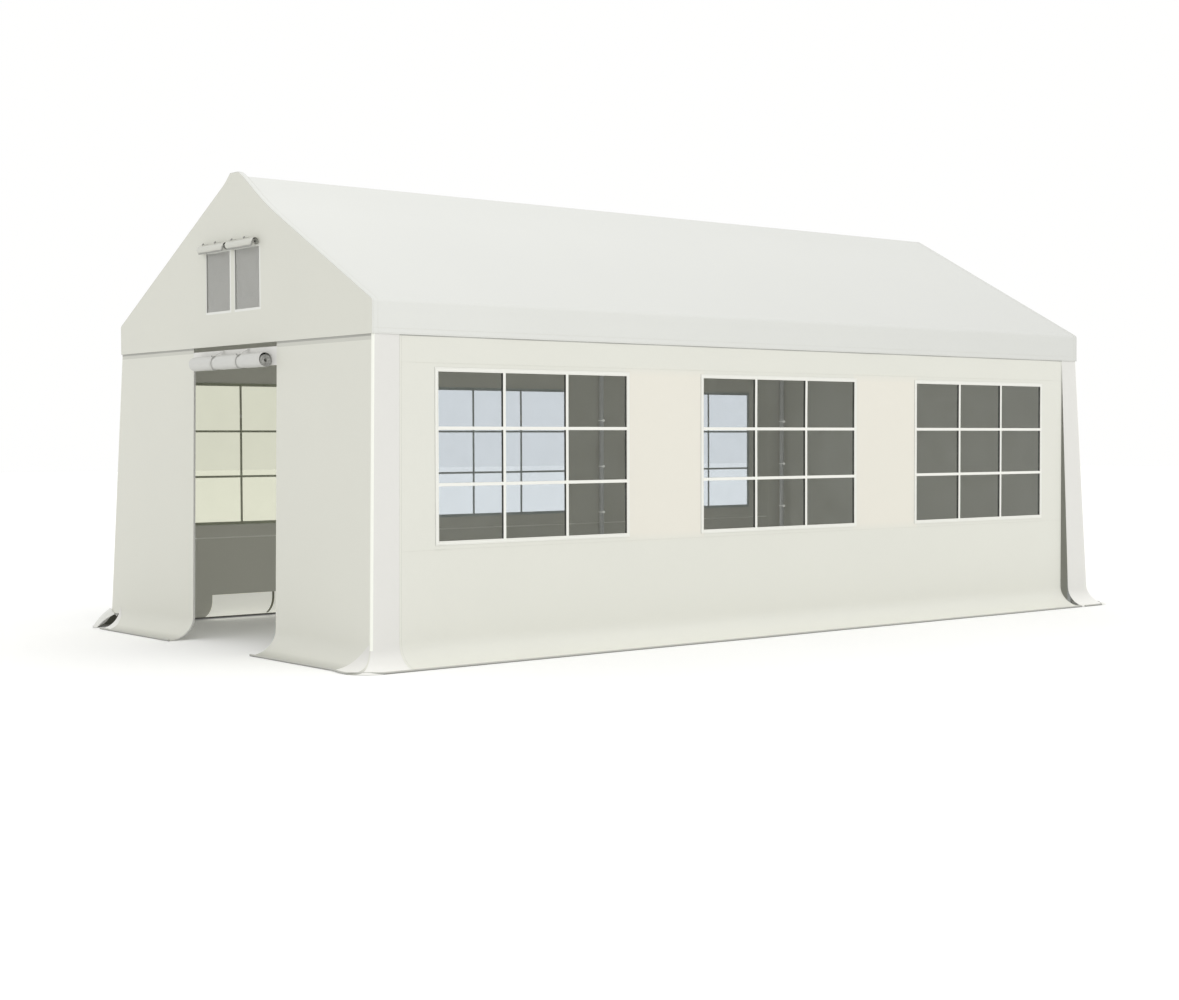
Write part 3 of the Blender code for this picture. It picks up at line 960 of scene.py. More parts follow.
def end_wall_paint(u, length):
    """0 wall, 1 return, 2 piping with a painted highlight, 3 painted shadow under the valance, 4 that
    shadow's softer edge, 5 the beak's side, with painted shade inside.
    """
    along = abs(u)
    if front_run < along < front_run + arc_run:
        turn = (along - front_run) / arc_run
        return 2 if length > PIPING_FOOT else 0 if turn < 0.4 else 1
    if along > front_run:
        return 5 if u < 0 and length < skirt_length else 1
    if cloth_height(END_SHADOW_Z) < length < cloth_height(SHADOW_TOP_Z):
        return 3
    if cloth_height(END_SHADOW_EDGE_Z) < length < cloth_height(END_SHADOW_Z):
        return 4
    return 0


def end_wall(name, turned, has_beak):
    def opening(u, length):
        in_door = abs(u) < DOOR_HALF and length < cloth_height(DOOR_TOP_Z)
        in_beak = has_beak and -front_run - arc_run < u < -front_run + BEAK_CUT and length < BEAK_TOP
        return in_door or in_beak

    half = spread([0.0, DOOR_HALF, front_run - PATCH_WIDTH, front_run - BEAK_CUT, front_run], WALL_STEP)[:-1]
    half += spread([front_run, front_run + arc_run], arc_run / CORNER_STEPS)[:-1]
    half += spread([front_run + arc_run, END_HALF], WALL_STEP / 2)
    columns = [-u for u in reversed(half[1:])] + half
    heights = [SKIRT_START_Z, END_SHADOW_EDGE_Z, END_SHADOW_Z, SHADOW_TOP_Z, DOOR_TOP_Z, WALL_TOP_Z]
    beak_side = -1.0 if has_beak else 0.0

    def place(u, length):
        return half_turned(end_wall_point(u, length, 0.0, beak_side), turned)

    outer = [end_wall_finish, edge_finish, piping_highlight_finish, end_valance_shadow_finish, valance_shadow_edge_finish, edge_finish]
    inner = [inner_finish] * 5 + [shade_finish if has_beak else inner_finish]
    return weave(name, columns, cloth_rows(heights, END_ROW_STEP), place, outer, inner, opening,
                 end_wall_paint)


end_walls = {"front": end_wall("end_wall_cloth_front", False, True),
             "back": end_wall("end_wall_cloth_back", True, False)}
for end, piece in end_walls.items():
    print(f"end wall {end}: area", round(flat_area(piece), 2))

# %% [markdown]
# Each corner of the skirt is stiffened with a second layer of whiter cloth, cut to a curve that
# runs out at the top. On the open corner the return's edge is folded over to the front: this lip
# keeps the flap stiff and the beak in shape.

# %% Corner patches and the lip
PATCH_LIFT = 0.0012
PATCH_CLOTH = 0.0009
PATCH_TOP = 0.004
LIP_TOP, LIP_FOOT = (0.069, 0.040), (0.049, 0.009)
LIP_ROUND, LIP_OUT, LIP_LOW_Z = 0.006, 0.0015, 0.004


def corner_patch(name, side, turned, beak_side):
    start = front_run - (BEAK_CUT if side == beak_side else 0.0)

    def place(part, length):
        width = (PATCH_WIDTH - front_run + start) * (1.0 - (length / skirt_length) ** 2) + PATCH_TOP
        u = side * (start - part * width)
        return half_turned(end_wall_point(u, length, PATCH_LIFT, beak_side), turned)

    parts = spread([0.0, 1.0], 0.2)
    if side > 0:
        parts.reverse()
    return weave(name, parts, skirt_lengths, place, [edge_finish], [edge_finish], thick=PATCH_CLOTH)


def lip_place(across, length):
    """The folded edge: it starts on the return flap's edge and leans down to the front."""
    share = skirt_share(length)[0]
    x, y, z = end_wall_point(-front_run - arc_run - 1e-6, length, PATCH_LIFT, -1.0)
    over = LIP_TOP[0] + (LIP_FOOT[0] - LIP_TOP[0]) * share
    down = LIP_TOP[1] + (LIP_FOOT[1] - LIP_TOP[1]) * share
    round_out = LIP_ROUND * sin(pi * across)
    return (x + across * over, y - LIP_OUT - round_out, max(z - across * down + round_out, LIP_LOW_Z))


BEAK_SIDE = {"front": -1.0, "back": 0.0}
corner_pieces = {end: [corner_patch(f"corner_patch_{end}_{word}", side, turned, BEAK_SIDE[end])
                       for word, side in SIDES] for end, turned in ENDS}
# The lip's inner side is painted dark as shade.
corner_pieces["front"].append(weave("corner_lip_front", spread([0.0, 1.0], 0.125), skirt_lengths, lip_place,
                                    [vent_hem_finish], [shade_finish], thick=PATCH_CLOTH))
for end, turned in ENDS:
    closed = spread([-END_HALF, -front_run - arc_run, -front_run, -DOOR_HALF], 0.04)
    flap = spread([-END_HALF, -front_run - arc_run - 0.001], 0.04)
    front = spread([-front_run + BEAK_CUT, -DOOR_HALF], 0.04)
    lines = []
    for route in ([-u for u in reversed(closed)], *((flap, front) if end == "front" else (closed,))):
        places = [half_turned(end_wall_point(u, 0.0, -ROPE_IN, BEAK_SIDE[end]), turned) for u in route]
        lines.append([(x, y, ROPE_R) for x, y, z in places])
    corner_pieces[end].append(piping(f"hem_rope_{end}", lines, ROPE_R, rope_shade_finish))
print("corner pieces:", sum(len(pieces) for pieces in corner_pieces.values()))

# %% [markdown]
# ## Side walls
# A side wall is one panel with three window openings. The band of cloth between and around the
# windows is a creamier cloth than the plain parts, and a painted shadow line runs where the wall
# goes up behind the valance. Inside, the skirt is painted white and glows: painted light for daylight through
# it.

# %% Side walls
FILM_LAP = 0.02
SIDE_EDGE = HALF_L - CORNER_RETURN - 0.0009
# The painted shadow under the side walls' valance runs from here up to the valance.
SIDE_SHADOW_Z = VALANCE_Z - 0.006
INNER_SKIRT_Z, INNER_SKIRT_Y = 0.172, -2.37
# The lowest part of the side walls' skirts is painted dark inside as shade.
PAINTED_SHADE_FOOT = skirt_rows[5][2]
window_low, window_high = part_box("window_film_right_1")
WINDOW_HALF = (window_high.y - window_low.y) / 2 - FILM_LAP
WINDOW_LOW_Z, WINDOW_HIGH_Z = window_low.z + FILM_LAP, window_high.z - FILM_LAP
window_y = [(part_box(f"window_film_right_{number}")[0].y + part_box(f"window_film_right_{number}")[1].y) / 2
            for number in (1, 2, 3)]
window_edges = sorted(centre + sign * WINDOW_HALF for centre in window_y for sign in (-1, 1))
WALL_BELLY, WALL_WAVE, SKIRT_WAVE, WALL_HANG = 0.005, 0.0015, 0.006, 0.4
BAND_SOFT, BAND_EDGE = 0.06, 0.01
print("windows at y =", [round(y, 3) for y in window_y], "half width", round(WINDOW_HALF, 3))


def side_wall_point(side, y, length, lift=0.0):
    """A point of a side wall's outer face, lifted by a distance outwards."""
    share, z = skirt_share(length)
    flat_out = reach(share, z, 0.0)
    front = min(max((window_edges[0] - y) / (window_edges[0] + SIDE_EDGE), 0.0), 1.0)
    out = flat_out + (reach(share, z, EDGE_LEAN) - flat_out) * front
    hang = min(1.0, max(0.0, (VALANCE_Z - z) / WALL_HANG)) * (1.0 - share)
    belly = -WALL_BELLY * bay_share(y) * hang * (0.6 + 0.4 * wobble(y * 0.8, z * 0.9, side * 4.0))
    belly += WALL_WAVE * wobble(y * 2.5, z * 1.2, side * 7.0) * hang * bay_share(y)
    at_edge = min(1.0, 4.0 * (SIDE_EDGE - abs(y)) / SIDE_EDGE)
    wave = SKIRT_WAVE * wobble(y * 1.3, side, 21.0) * share ** 2 * at_edge
    return (side * (WALL_X + out + belly + wave + lift), y - lean_at(z, EDGE_LEAN) * front, z)


def between_windows(sketch, wires):
    """1 on the two fields between the windows, fading out above and below them."""
    low = ramp(sketch, wires["z"], WINDOW_LOW_Z - BAND_SOFT, WINDOW_LOW_Z)
    high = ramp(sketch, wires["z"], WINDOW_HIGH_Z + BAND_SOFT, WINDOW_HIGH_Z)
    fields = 0.0
    for start, end in (window_edges[1:3], window_edges[3:5]):
        rise = ramp(sketch, wires["y"], start - BAND_EDGE, start)
        fields = rise * ramp(sketch, wires["y"], end + BAND_EDGE, end) + fields
    return fields * low * high


side_wall_finish = cloth_finish("side_wall_cloth", (0.685, 0.685, 0.625), fades=side_skirt_light_and_shade_fades,
                                second=(0.728, 0.706, 0.632), share_of_second=between_windows)


def side_wall_paint(y, length):
    """0 wall, 1 painted shadow under the valance, 2 the inside's skirt, painted white and glowing, 3 the
    foot, with painted shade inside.
    """
    if length < PAINTED_SHADE_FOOT:
        return 3
    if length < cloth_height(INNER_SKIRT_Z) and y > INNER_SKIRT_Y:
        return 2
    return 1 if cloth_height(SIDE_SHADOW_Z) < length < cloth_height(SHADOW_TOP_Z) else 0


def in_window(y, length):
    z = skirt_share(length)[1]
    in_column = any(abs(y - centre) < WINDOW_HALF for centre in window_y)
    return in_column and length > skirt_length and WINDOW_LOW_Z < z < WINDOW_HIGH_Z


side_rows = cloth_rows([SKIRT_START_Z, INNER_SKIRT_Z, WINDOW_LOW_Z, WINDOW_HIGH_Z, SIDE_SHADOW_Z, SHADOW_TOP_Z,
                        WALL_TOP_Z])
side_columns = spread(sorted([-SIDE_EDGE, INNER_SKIRT_Y, *window_edges, SIDE_EDGE]), WALL_STEP)
side_walls = {}
for word, side in SIDES:
    columns = side_columns if side > 0 else side_columns[::-1]

    def place_side(y, length, side=side):
        return side_wall_point(side, y, length)

    side_walls[word] = weave(f"side_wall_cloth_{word}", columns, side_rows, place_side,
                             [side_wall_finish, side_valance_shadow_finish, side_wall_finish, side_wall_finish],
                             [inner_finish, inner_finish, inner_skirt_glow_finish, shade_finish],
                             in_window, side_wall_paint)
    print(f"side wall {word}: area", round(flat_area(side_walls[word]), 2))

hem_ropes = []
for word, side in SIDES:
    line = [side_wall_point(side, y, 0.0, -ROPE_IN) for y in spread([-SIDE_EDGE, SIDE_EDGE], 0.06)]
    hem_ropes.append(piping(f"hem_rope_{word}", [[(x, y, ROPE_R) for x, y, z in line]], ROPE_R, rope_shade_finish))

# %% [markdown]
# ## Windows
# Each window is a sheet of clear film behind its opening. A welded white border frames it, and
# two upright and two level bars divide it in nine panes. The bars are white outside and grey
# at the back. On the right wall they stand a finger deep, their sides painted dark as shade;
# on the left wall they are flatter with grey sides. Border and bars are one lattice: a grid
# whose panes are openings.

# %% Window lattices
BORDER = 0.022
BARS = {"right": (0.018, 0.017), "left": (0.014, 0.006)}
BORDER_PROUD = 0.0016
PANES = 3


def bar_lines(low, high, bar):
    """Key lines of a border, the bars and the other border."""
    lines = [low - BORDER, low]
    for number in range(1, PANES):
        middle = low + (high - low) * number / PANES
        lines += [middle - bar / 2, middle + bar / 2]
    return lines + [high, high + BORDER]


def lattice(name, side, centre, bar, depth):
    y_lines = bar_lines(centre - WINDOW_HALF, centre + WINDOW_HALF, bar)
    z_lines = bar_lines(WINDOW_LOW_Z, WINDOW_HIGH_Z, bar)
    open_y = list(zip(y_lines[1:-1:2], y_lines[2:-1:2]))
    open_z = list(zip(z_lines[1:-1:2], z_lines[2:-1:2]))

    def opening(y, z):
        return any(a < y < b for a, b in open_y) and any(a < z < b for a, b in open_z)

    def place(y, z):
        return side_wall_point(side, y, cloth_height(z), BORDER_PROUD)

    columns = spread(y_lines, ROUTE_STEP)
    if side < 0:
        columns.reverse()
    return weave(name, columns, spread(z_lines, ROUTE_STEP), place, [hem_finish], [bar_back_finish], opening,
                 thick=depth, sharp=30.0)


def bar_sides(piece, finish):
    """The faces that stand across the wall take the given finish."""
    piece.data.materials.append(finish)
    dark = len(piece.data.materials) - 1
    for polygon in piece.data.polygons:
        if abs(polygon.normal.x) < 0.5:
            polygon.material_index = dark


window_pieces = {}
for word, side in SIDES:
    for number, centre in enumerate(window_y, start=1):
        bars = lattice(f"window_bars_{word}_{number}", side, centre, *BARS[word])
        # On the right wall the bars' sides are painted shade.
        bar_sides(bars, bar_side_shade_finish if side > 0 else bar_back_finish)
        window_pieces[bars.name] = bars
print(len(window_pieces), "lattices of", PANES * PANES, "panes")

# %% Window films
FILM = 0.0012
FILM_BEHIND = SOLID_CLOTH + GAP

# Painted light: the left wall's films are tinted warm and cool.
FILM_FINISHES = {("left", 1): film_painted_warm_light, ("left", 2): film_painted_cool_light, ("left", 3): film_painted_cool_light}

for word, side in SIDES:
    for number, centre in enumerate(window_y, start=1):
        finish = FILM_FINISHES.get((word, number), neutral_film)
        half = WINDOW_HALF + FILM_LAP
        y_lines = spread([centre - half, centre + half], ROUTE_STEP)
        z_lines = spread([WINDOW_LOW_Z - FILM_LAP, WINDOW_HIGH_Z + FILM_LAP], ROUTE_STEP)
        if side < 0:
            y_lines.reverse()

        def place_film(y, z, side=side):
            return side_wall_point(side, y, cloth_height(z), -FILM_BEHIND)

        film = weave(f"window_film_sheet_{word}_{number}", y_lines, z_lines, place_film, [finish], [finish],
                     thick=FILM)
        window_pieces[film.name] = film
print("films:", sum(name.startswith("window_film") for name in window_pieces))

# %% [markdown]
# ## The rolled front door
# The door panel is rolled up and tied. A strip of it still hangs across the doorway, as wide as
# the opening, and its folded sides make the roll a little shorter. The roll is a real spiral of
# cloth, so its ends show the turns, and the inner turns rest low and leave a dark hollow above
# them. Two webbing straps pull it in.

# %% Door roll
door_low, door_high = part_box("door_roll_front")
DOOR_STRIP_TOP_Z, DOOR_STRIP_LOW_Z = door_high.z - 0.004, 1.628
ROLL_R = (door_high.y - door_low.y) / 2
ROLL_Y, ROLL_Z = door_low.y + ROLL_R, 1.661
ROLL_LEFT, ROLL_RIGHT = -0.405, 0.445
ROLL_STRAPS = (-0.12, 0.18)
ROLL_CLOTH, ROLL_PINCH, STRIP_WAVE = 0.0011, 0.003, 0.0006
HOLLOW_START, HOLLOW_DROP = 0.55, 0.9
PINCH_WIDTH, ROLL_WOBBLE, ROLL_SWAY, ROLL_END = 0.03, 0.02, 0.004, 0.08


def spiral_route(outer_r, core_r, pitch, hollow, steps_a_turn=20):
    """Angle, radius and drop of a rolled cloth from its outer end inwards."""
    turns = (outer_r - core_r) / pitch
    count = ceil(turns * steps_a_turn)
    route, length, last = [], 0.0, None
    for number in range(count + 1):
        turn = turns * number / count
        inwards = min(max(turn - HOLLOW_START, 0.0), 1.0)
        settle_in = inwards ** 2 * (3 - 2 * inwards)
        radius = outer_r - pitch * turn - hollow * settle_in
        drop = -hollow * HOLLOW_DROP * settle_in
        place = (radius * cos(2 * pi * turn), radius * sin(2 * pi * turn) + drop)
        if last:
            length += hypot(place[0] - last[0], place[1] - last[1])
        route.append((2 * pi * turn, radius, drop, length))
        last = place
        if radius <= core_r:
            break
    return route


def roll_cloth(name, centre, left, right, route, straps, pinch, finishes, turned=False, column_step=0.03):
    """A rolled panel lying along x in front of an end wall. The cloth comes down behind it."""
    by_length = {row[3]: row for row in route}

    def place(x, length):
        angle, radius, drop, _ = by_length[length]
        squeeze = sum(exp(-((x - strap) / PINCH_WIDTH) ** 2) for strap in straps)
        inside = length / route[-1][3]
        radius = radius * (1.0 - ROLL_WOBBLE * wobble(x * 6.0, angle * 0.5, 2.0))
        radius -= pinch * squeeze * (1 - inside)
        sway = ROLL_SWAY * wobble(angle * 0.35, 1.0, 4.0) * min(1.0, 3.0 * inside)
        end = min(1.0, min(x - left, right - x) / ROLL_END)
        y = centre[0] + radius * cos(angle)
        z = centre[1] - radius * sin(angle) + drop
        return half_turned((x + sway * (1.0 - max(end, 0.0)), y, z), turned)

    columns = spread([left, right], column_step)
    return weave(name, columns, list(by_length), place, finishes[:1], finishes[1:], thick=ROLL_CLOTH)


door_route = spiral_route(ROLL_R - 0.0005, core_r=0.010, pitch=0.0026, hollow=0.0062)
door_roll = roll_cloth("door_roll_cloth", (ROLL_Y, ROLL_Z), ROLL_LEFT, ROLL_RIGHT, door_route,
                       ROLL_STRAPS, ROLL_PINCH, [roll_shade_finish, rolled_in_finish])


def strip_place(x, z):
    return (x, -WALL_Y - STRIP_WAVE * sin(9 * x), z)


doorway_x = spread([-DOOR_HALF + GAP, DOOR_HALF - GAP], WALL_STEP)
door_strip = weave("door_strip_cloth", doorway_x, spread([DOOR_STRIP_LOW_Z, DOOR_STRIP_TOP_Z], 0.03),
                   strip_place, [edge_finish], [inner_finish])
# Painted shadow: a dark olive cord just behind the hanging strip's lower edge stands in for the shadow under
# the roll.
LINTEL_DEPTH, LINTEL_R = 0.018, 0.006
lintel_route = [(x, -WALL_Y + LINTEL_DEPTH, DOOR_STRIP_LOW_Z + 0.004)
                for x in spread([-DOOR_HALF + GAP, DOOR_HALF - GAP], ROUTE_STEP)]
lintel = piping("door_lintel_shadow_cord", [lintel_route], LINTEL_R, olive_and_shadow_finish)


# %% [markdown]
# ## Straps
# A strap is a flat band that follows a path round the door roll. The band is woven like any
# panel: its short side lies along the roll and its long side follows the path.

# %% Straps
STRAP_WIDTH = 0.016
STRAP_R = ROLL_R - 0.001
STRAP_SLOPE = -0.05
STRAP_STEPS, STRAP_START, STRAP_TURN = 16, 75, 255


def strap(name, x):
    """A band from the seam above the roll, over its front, under it and back up behind."""
    path = [(-WALL_Y - 0.001, DOOR_STRIP_TOP_Z - 0.004)]
    for step in range(STRAP_STEPS + 1):
        angle = radians(STRAP_START - STRAP_TURN * step / STRAP_STEPS)
        path.append((ROLL_Y - STRAP_R * cos(angle), ROLL_Z + STRAP_R * sin(angle)))

    def place(across, row):
        return (across + STRAP_SLOPE * row / len(path), *path[row])

    columns = [x - STRAP_WIDTH / 2, x, x + STRAP_WIDTH / 2]
    return weave(name, columns, list(range(len(path))), place, [strap_finish], [strap_finish])


door_straps = [strap(f"door_strap_{number}", x) for number, x in enumerate(ROLL_STRAPS, start=1)]

# %% [markdown]
# ## Toggles
# A toggle is a short turned peg with rounded ends and a waist for its cord. It is spun from one
# outline, so the same function makes the door's pegs and the small ones on the vent flaps.

# %% Toggles
DOOR_PEG, FLAP_PEG, ZIP_PULL = (0.030, 0.0050), (0.018, 0.0050), (0.03, 0.005)


def peg(name, centre, along, sizes, finish, segments=12):
    length, radius = sizes
    outline = [(-0.5, 0.0), (-0.48, 0.55), (-0.42, 0.9), (-0.2, 1.0), (0.0, 0.72), (0.2, 1.0),
               (0.42, 0.9), (0.48, 0.55), (0.5, 0.0)]
    along = Vector(along).normalized()
    side = along.orthogonal().normalized()
    other = along.cross(side)
    points = [Vector(centre) + along * (outline[0][0] * length)]
    for share, width in outline[1:-1]:
        for step in range(segments):
            bend = 2 * pi * step / segments
            points.append(Vector(centre) + along * (share * length)
                          + (side * cos(bend) + other * sin(bend)) * (width * radius))
    points.append(Vector(centre) + along * (outline[-1][0] * length))
    rings = len(outline) - 2
    faces = []
    for step in range(segments):
        after = (step + 1) % segments
        faces.append((0, 1 + after, 1 + step))
        for ring in range(rings - 1):
            first = 1 + ring * segments
            faces.append((first + step, first + after, first + segments + after, first + segments + step))
        last = 1 + (rings - 1) * segments
        faces.append((last + step, last + after, len(points) - 1))
    mesh = bpy.data.meshes.new(name)
    mesh.from_pydata(points, [], faces)
    mesh.materials.append(finish)
    mesh.shade_smooth()
    return new_object(name, mesh)


door_pegs = [peg(f"door_toggle_{number}", (x - 0.004, ROLL_Y - ROLL_R * 0.72, ROLL_Z + ROLL_R * 0.76),
                 (1.0, 0.0, -0.35), DOOR_PEG, toggle_and_shadow_cord_finish)
             for number, x in enumerate(ROLL_STRAPS, start=1)]
print("toggles:", len(door_pegs))

# %% [markdown]
# ## The closed back door
# The back doorway is closed by its panel, a plain copy of the wall's own profile between the
# two edges. A zip runs up each side: a tape over the joint, two rows of teeth as one row of
# blocks, and a slider parked at the foot. At the open front doorway only the turned-in edge
# binding shows.

# %% Back door and zips
ZIP_TAPE = 0.026
ZIP_FOOT = 0.09
ZIP_PITCH, ZIP_TOOTH = 0.004, (0.0022, 0.006, 0.0024)
ZIP_TOP_Z = DOOR_TOP_Z - 0.02
TAPE_LIFT, TEETH_LIFT, PULL_LIFT, DOOR_BELLY = 0.0012, 0.0018, 0.004, 0.003
door_panel_rows = cloth_rows([SKIRT_START_Z, DOOR_TOP_Z - GAP])


def doorway_point(u, length, lift=0.0):
    share, z = skirt_share(length)
    belly = DOOR_BELLY * cos(pi * u) * wobble(u * 1.5, z * 1.2, 31.0) * (1 - share)
    return (u, -(WALL_Y + reach(share, z, DOOR_LEAN) + lift + belly), z)


back_door = weave("door_panel_cloth_back", doorway_x, door_panel_rows,
                  lambda u, length: half_turned(doorway_point(u, length), True), [end_wall_finish],
                  [inner_finish])


def zip_pieces(side):
    word = "right" if side < 0 else "left"
    tape_rows = [row for row in cloth_rows([SKIRT_START_Z, ZIP_TOP_Z]) if row > ZIP_FOOT]
    tape_x = [side * DOOR_HALF + shift for shift in (-ZIP_TAPE / 2, 0.0, ZIP_TAPE / 2)]

    def tape_point(u, length, lift=TAPE_LIFT):
        share, z = skirt_share(length)
        return half_turned((u, -(WALL_Y + reach(share, z, DOOR_LEAN) + lift), z), True)

    tape = weave(f"zip_tape_back_{word}", tape_x, tape_rows, tape_point, [hem_finish], [hem_finish],
                 thick=TRIM_CLOTH)
    route = [tape_point(side * DOOR_HALF, length, TEETH_LIFT) for length in tape_rows]
    teeth = stitch(f"zip_teeth_back_{word}", [route], olive_and_shadow_finish, ZIP_PITCH, ZIP_TOOTH)
    foot = tape_point(side * DOOR_HALF, tape_rows[2], PULL_LIFT)
    pull = peg(f"zip_pull_back_{word}", foot, (0.0, 0.3, 1.0), ZIP_PULL, strap_finish)
    return [tape, teeth, pull]


back_zips = zip_pieces(-1.0) + zip_pieces(1.0)
BINDING_DEPTH, BINDING_GAP = 0.012, 0.0004
BINDING_TOP_Z = 1.62


def edge_binding(side):
    """The doorway's edge, turned into the tent."""
    def place(depth, length):
        share, z = skirt_share(length)
        y = WALL_Y + reach(share, z, DOOR_LEAN) - CLOTH * 0.5 - depth
        return (side * (DOOR_HALF + BINDING_GAP), -y, z)

    columns = [0.0, BINDING_DEPTH] if side > 0 else [BINDING_DEPTH, 0.0]
    rows = cloth_rows([SKIRT_START_Z, BINDING_TOP_Z], ROUTE_STEP)
    return weave(f"door_binding_{'right' if side > 0 else 'left'}", columns, rows, place, [strap_finish],
                 [strap_finish], thick=TRIM_CLOTH)


door_bindings = [edge_binding(-1.0), edge_binding(1.0)]
print("zips on the back door:", len(back_zips) // 3)

# %% [markdown]
# ## Vents
# A vent is closed by a net. Geometry Nodes lay it: a column of level threads and a row of
# upright ones, each thread a long thin block, at a pitch that lets air through and keeps insects
# out. The flap of each vent is rolled up above it on two small toggles.

# %% Vent nets
NET_PITCH = 0.003
NET_THREAD, NET_DEPTH = 0.0017, 0.00035
NET_Y = HALF_L - CLOTH - 0.0010


def net_tree():
    sketch, given = new_tree("net", [("Corner", "Vector"), ("Width", "Float"), ("Height", "Float"),
                                     ("Pitch", "Float"), ("Thread", "Float"), ("Depth", "Float")])
    size = {name: Wire(sketch, given[name]) for name in ("Width", "Height", "Pitch", "Thread", "Depth")}

    def threads(run, long, upright):
        steps = size[run].math("DIVIDE", size[run], size["Pitch"])
        count = sketch.wire("ShaderNodeMath", {0: steps}, operation="FLOOR")
        step = sketch.node("ShaderNodeCombineXYZ", {0 if upright else 2: size["Pitch"]})
        line = sketch.node("GeometryNodeMeshLine", {"Count": count, "Offset": step.outputs[0]})
        sides = {0: size[long], 1: size["Depth"], 2: size["Thread"]}
        if upright:
            sides[0], sides[2] = sides[2], sides[0]
        sides = sketch.node("ShaderNodeCombineXYZ", sides)
        block = sketch.node("GeometryNodeMeshCube", {"Size": sides.outputs[0]})
        shift = sketch.node("ShaderNodeCombineXYZ", {2 if upright else 0: size[long] * 0.5})
        moved = sketch.node("GeometryNodeTransform",
                            {"Geometry": block.outputs["Mesh"], "Translation": shift.outputs[0]})
        return sketch.node("GeometryNodeInstanceOnPoints",
                           {"Points": line.outputs[0], "Instance": moved.outputs[0]}).outputs[0]

    both = sketch.join(threads("Height", "Width", False), threads("Width", "Height", True))
    real = sketch.node("GeometryNodeRealizeInstances", {"Geometry": both})
    placed = sketch.node("GeometryNodeTransform",
                         {"Geometry": real.outputs[0], "Translation": given["Corner"]})
    return close_tree(sketch, placed.outputs[0], given)


net = net_tree()
vent_nets = {}
for end, sign in (("front", -1.0), ("back", 1.0)):
    for number in (1, 2):
        low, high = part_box(f"vent_screen_{end}_{number}")
        vent_nets[end, number] = grow(empty_mesh(f"vent_net_{end}_{number}"), net,
                                      Corner=(low.x, sign * NET_Y, low.z), Width=high.x - low.x,
                                      Height=high.z - low.z, Pitch=NET_PITCH, Thread=NET_THREAD,
                                      Depth=NET_DEPTH, Finish=net_finish)

# Painted shadow: a thin dark cord up each vent's left edge stands in for the shade inside the opening's hem.
EDGE_CORD_R = 0.003
vent_shadow_cords = {}
for end, turned in ENDS:
    lines = [[half_turned((left, -HALF_L - 0.001, z), turned) for z in spread([low, high], 0.05)]
             for left, right, low, high in vents]
    vent_shadow_cords[end] = piping(f"vent_edge_{end}", lines, EDGE_CORD_R, toggle_and_shadow_cord_finish)

# %% Vent flaps
flap_low, flap_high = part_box("vent_roll_front_1")
FLAP_R = (flap_high.z - flap_low.z) / 2
FLAP_Z = (flap_high.z + flap_low.z) / 2
FLAP_Y = flap_low.y + FLAP_R
flap_route = spiral_route(FLAP_R - 0.0006, core_r=0.009, pitch=0.0035, hollow=0.0030, steps_a_turn=16)
FLAP_SEAM_Z = FLAP_Z + 0.036
FLAP_TOGGLES = (0.17, 0.63)
FLAP_PINCH = 0.0015
# Painted shadow: a dark cord under each flap's roll, curving up round its right end.
LOOP_R, FLAP_SHADOW_R = 0.0014, 0.0050
FLAP_SHADOW_Y, FLAP_SHADOW_Z = FLAP_Y - 0.006, FLAP_Z - FLAP_R + 0.001
FLAP_SHADOW_TURN, FLAP_SHADOW_IN, FLAP_SHADOW_RISE, FLAP_SHADOW_STEPS = 0.05, 0.017, 0.020, 6


def flap_shadow_route(left, right, turned):
    """The painted shadow cord: under the roll from its left end to the right, then up round its end."""
    places = [(x, FLAP_SHADOW_Y, FLAP_SHADOW_Z) for x in spread([left, right - FLAP_SHADOW_TURN], 0.03)]
    for step in range(1, FLAP_SHADOW_STEPS + 1):
        bend = 0.5 * pi * step / FLAP_SHADOW_STEPS
        places.append((right - FLAP_SHADOW_TURN + FLAP_SHADOW_TURN * sin(bend), FLAP_SHADOW_Y - FLAP_SHADOW_IN * sin(bend),
                       FLAP_SHADOW_Z + FLAP_SHADOW_RISE * (1 - cos(bend))))
    return [half_turned(place, turned) for place in places]


def loop_route(x, turned):
    """A short loop of cord from the seam, over the roll's top, to its toggle."""
    places = [(x, -HALF_L - 0.0018, FLAP_SEAM_Z - 0.004), (x, FLAP_Y + 0.012, FLAP_Z + FLAP_R + 0.004),
              (x, FLAP_Y - 0.006, FLAP_Z + FLAP_R + 0.003)]
    return [half_turned(place, turned) for place in places]


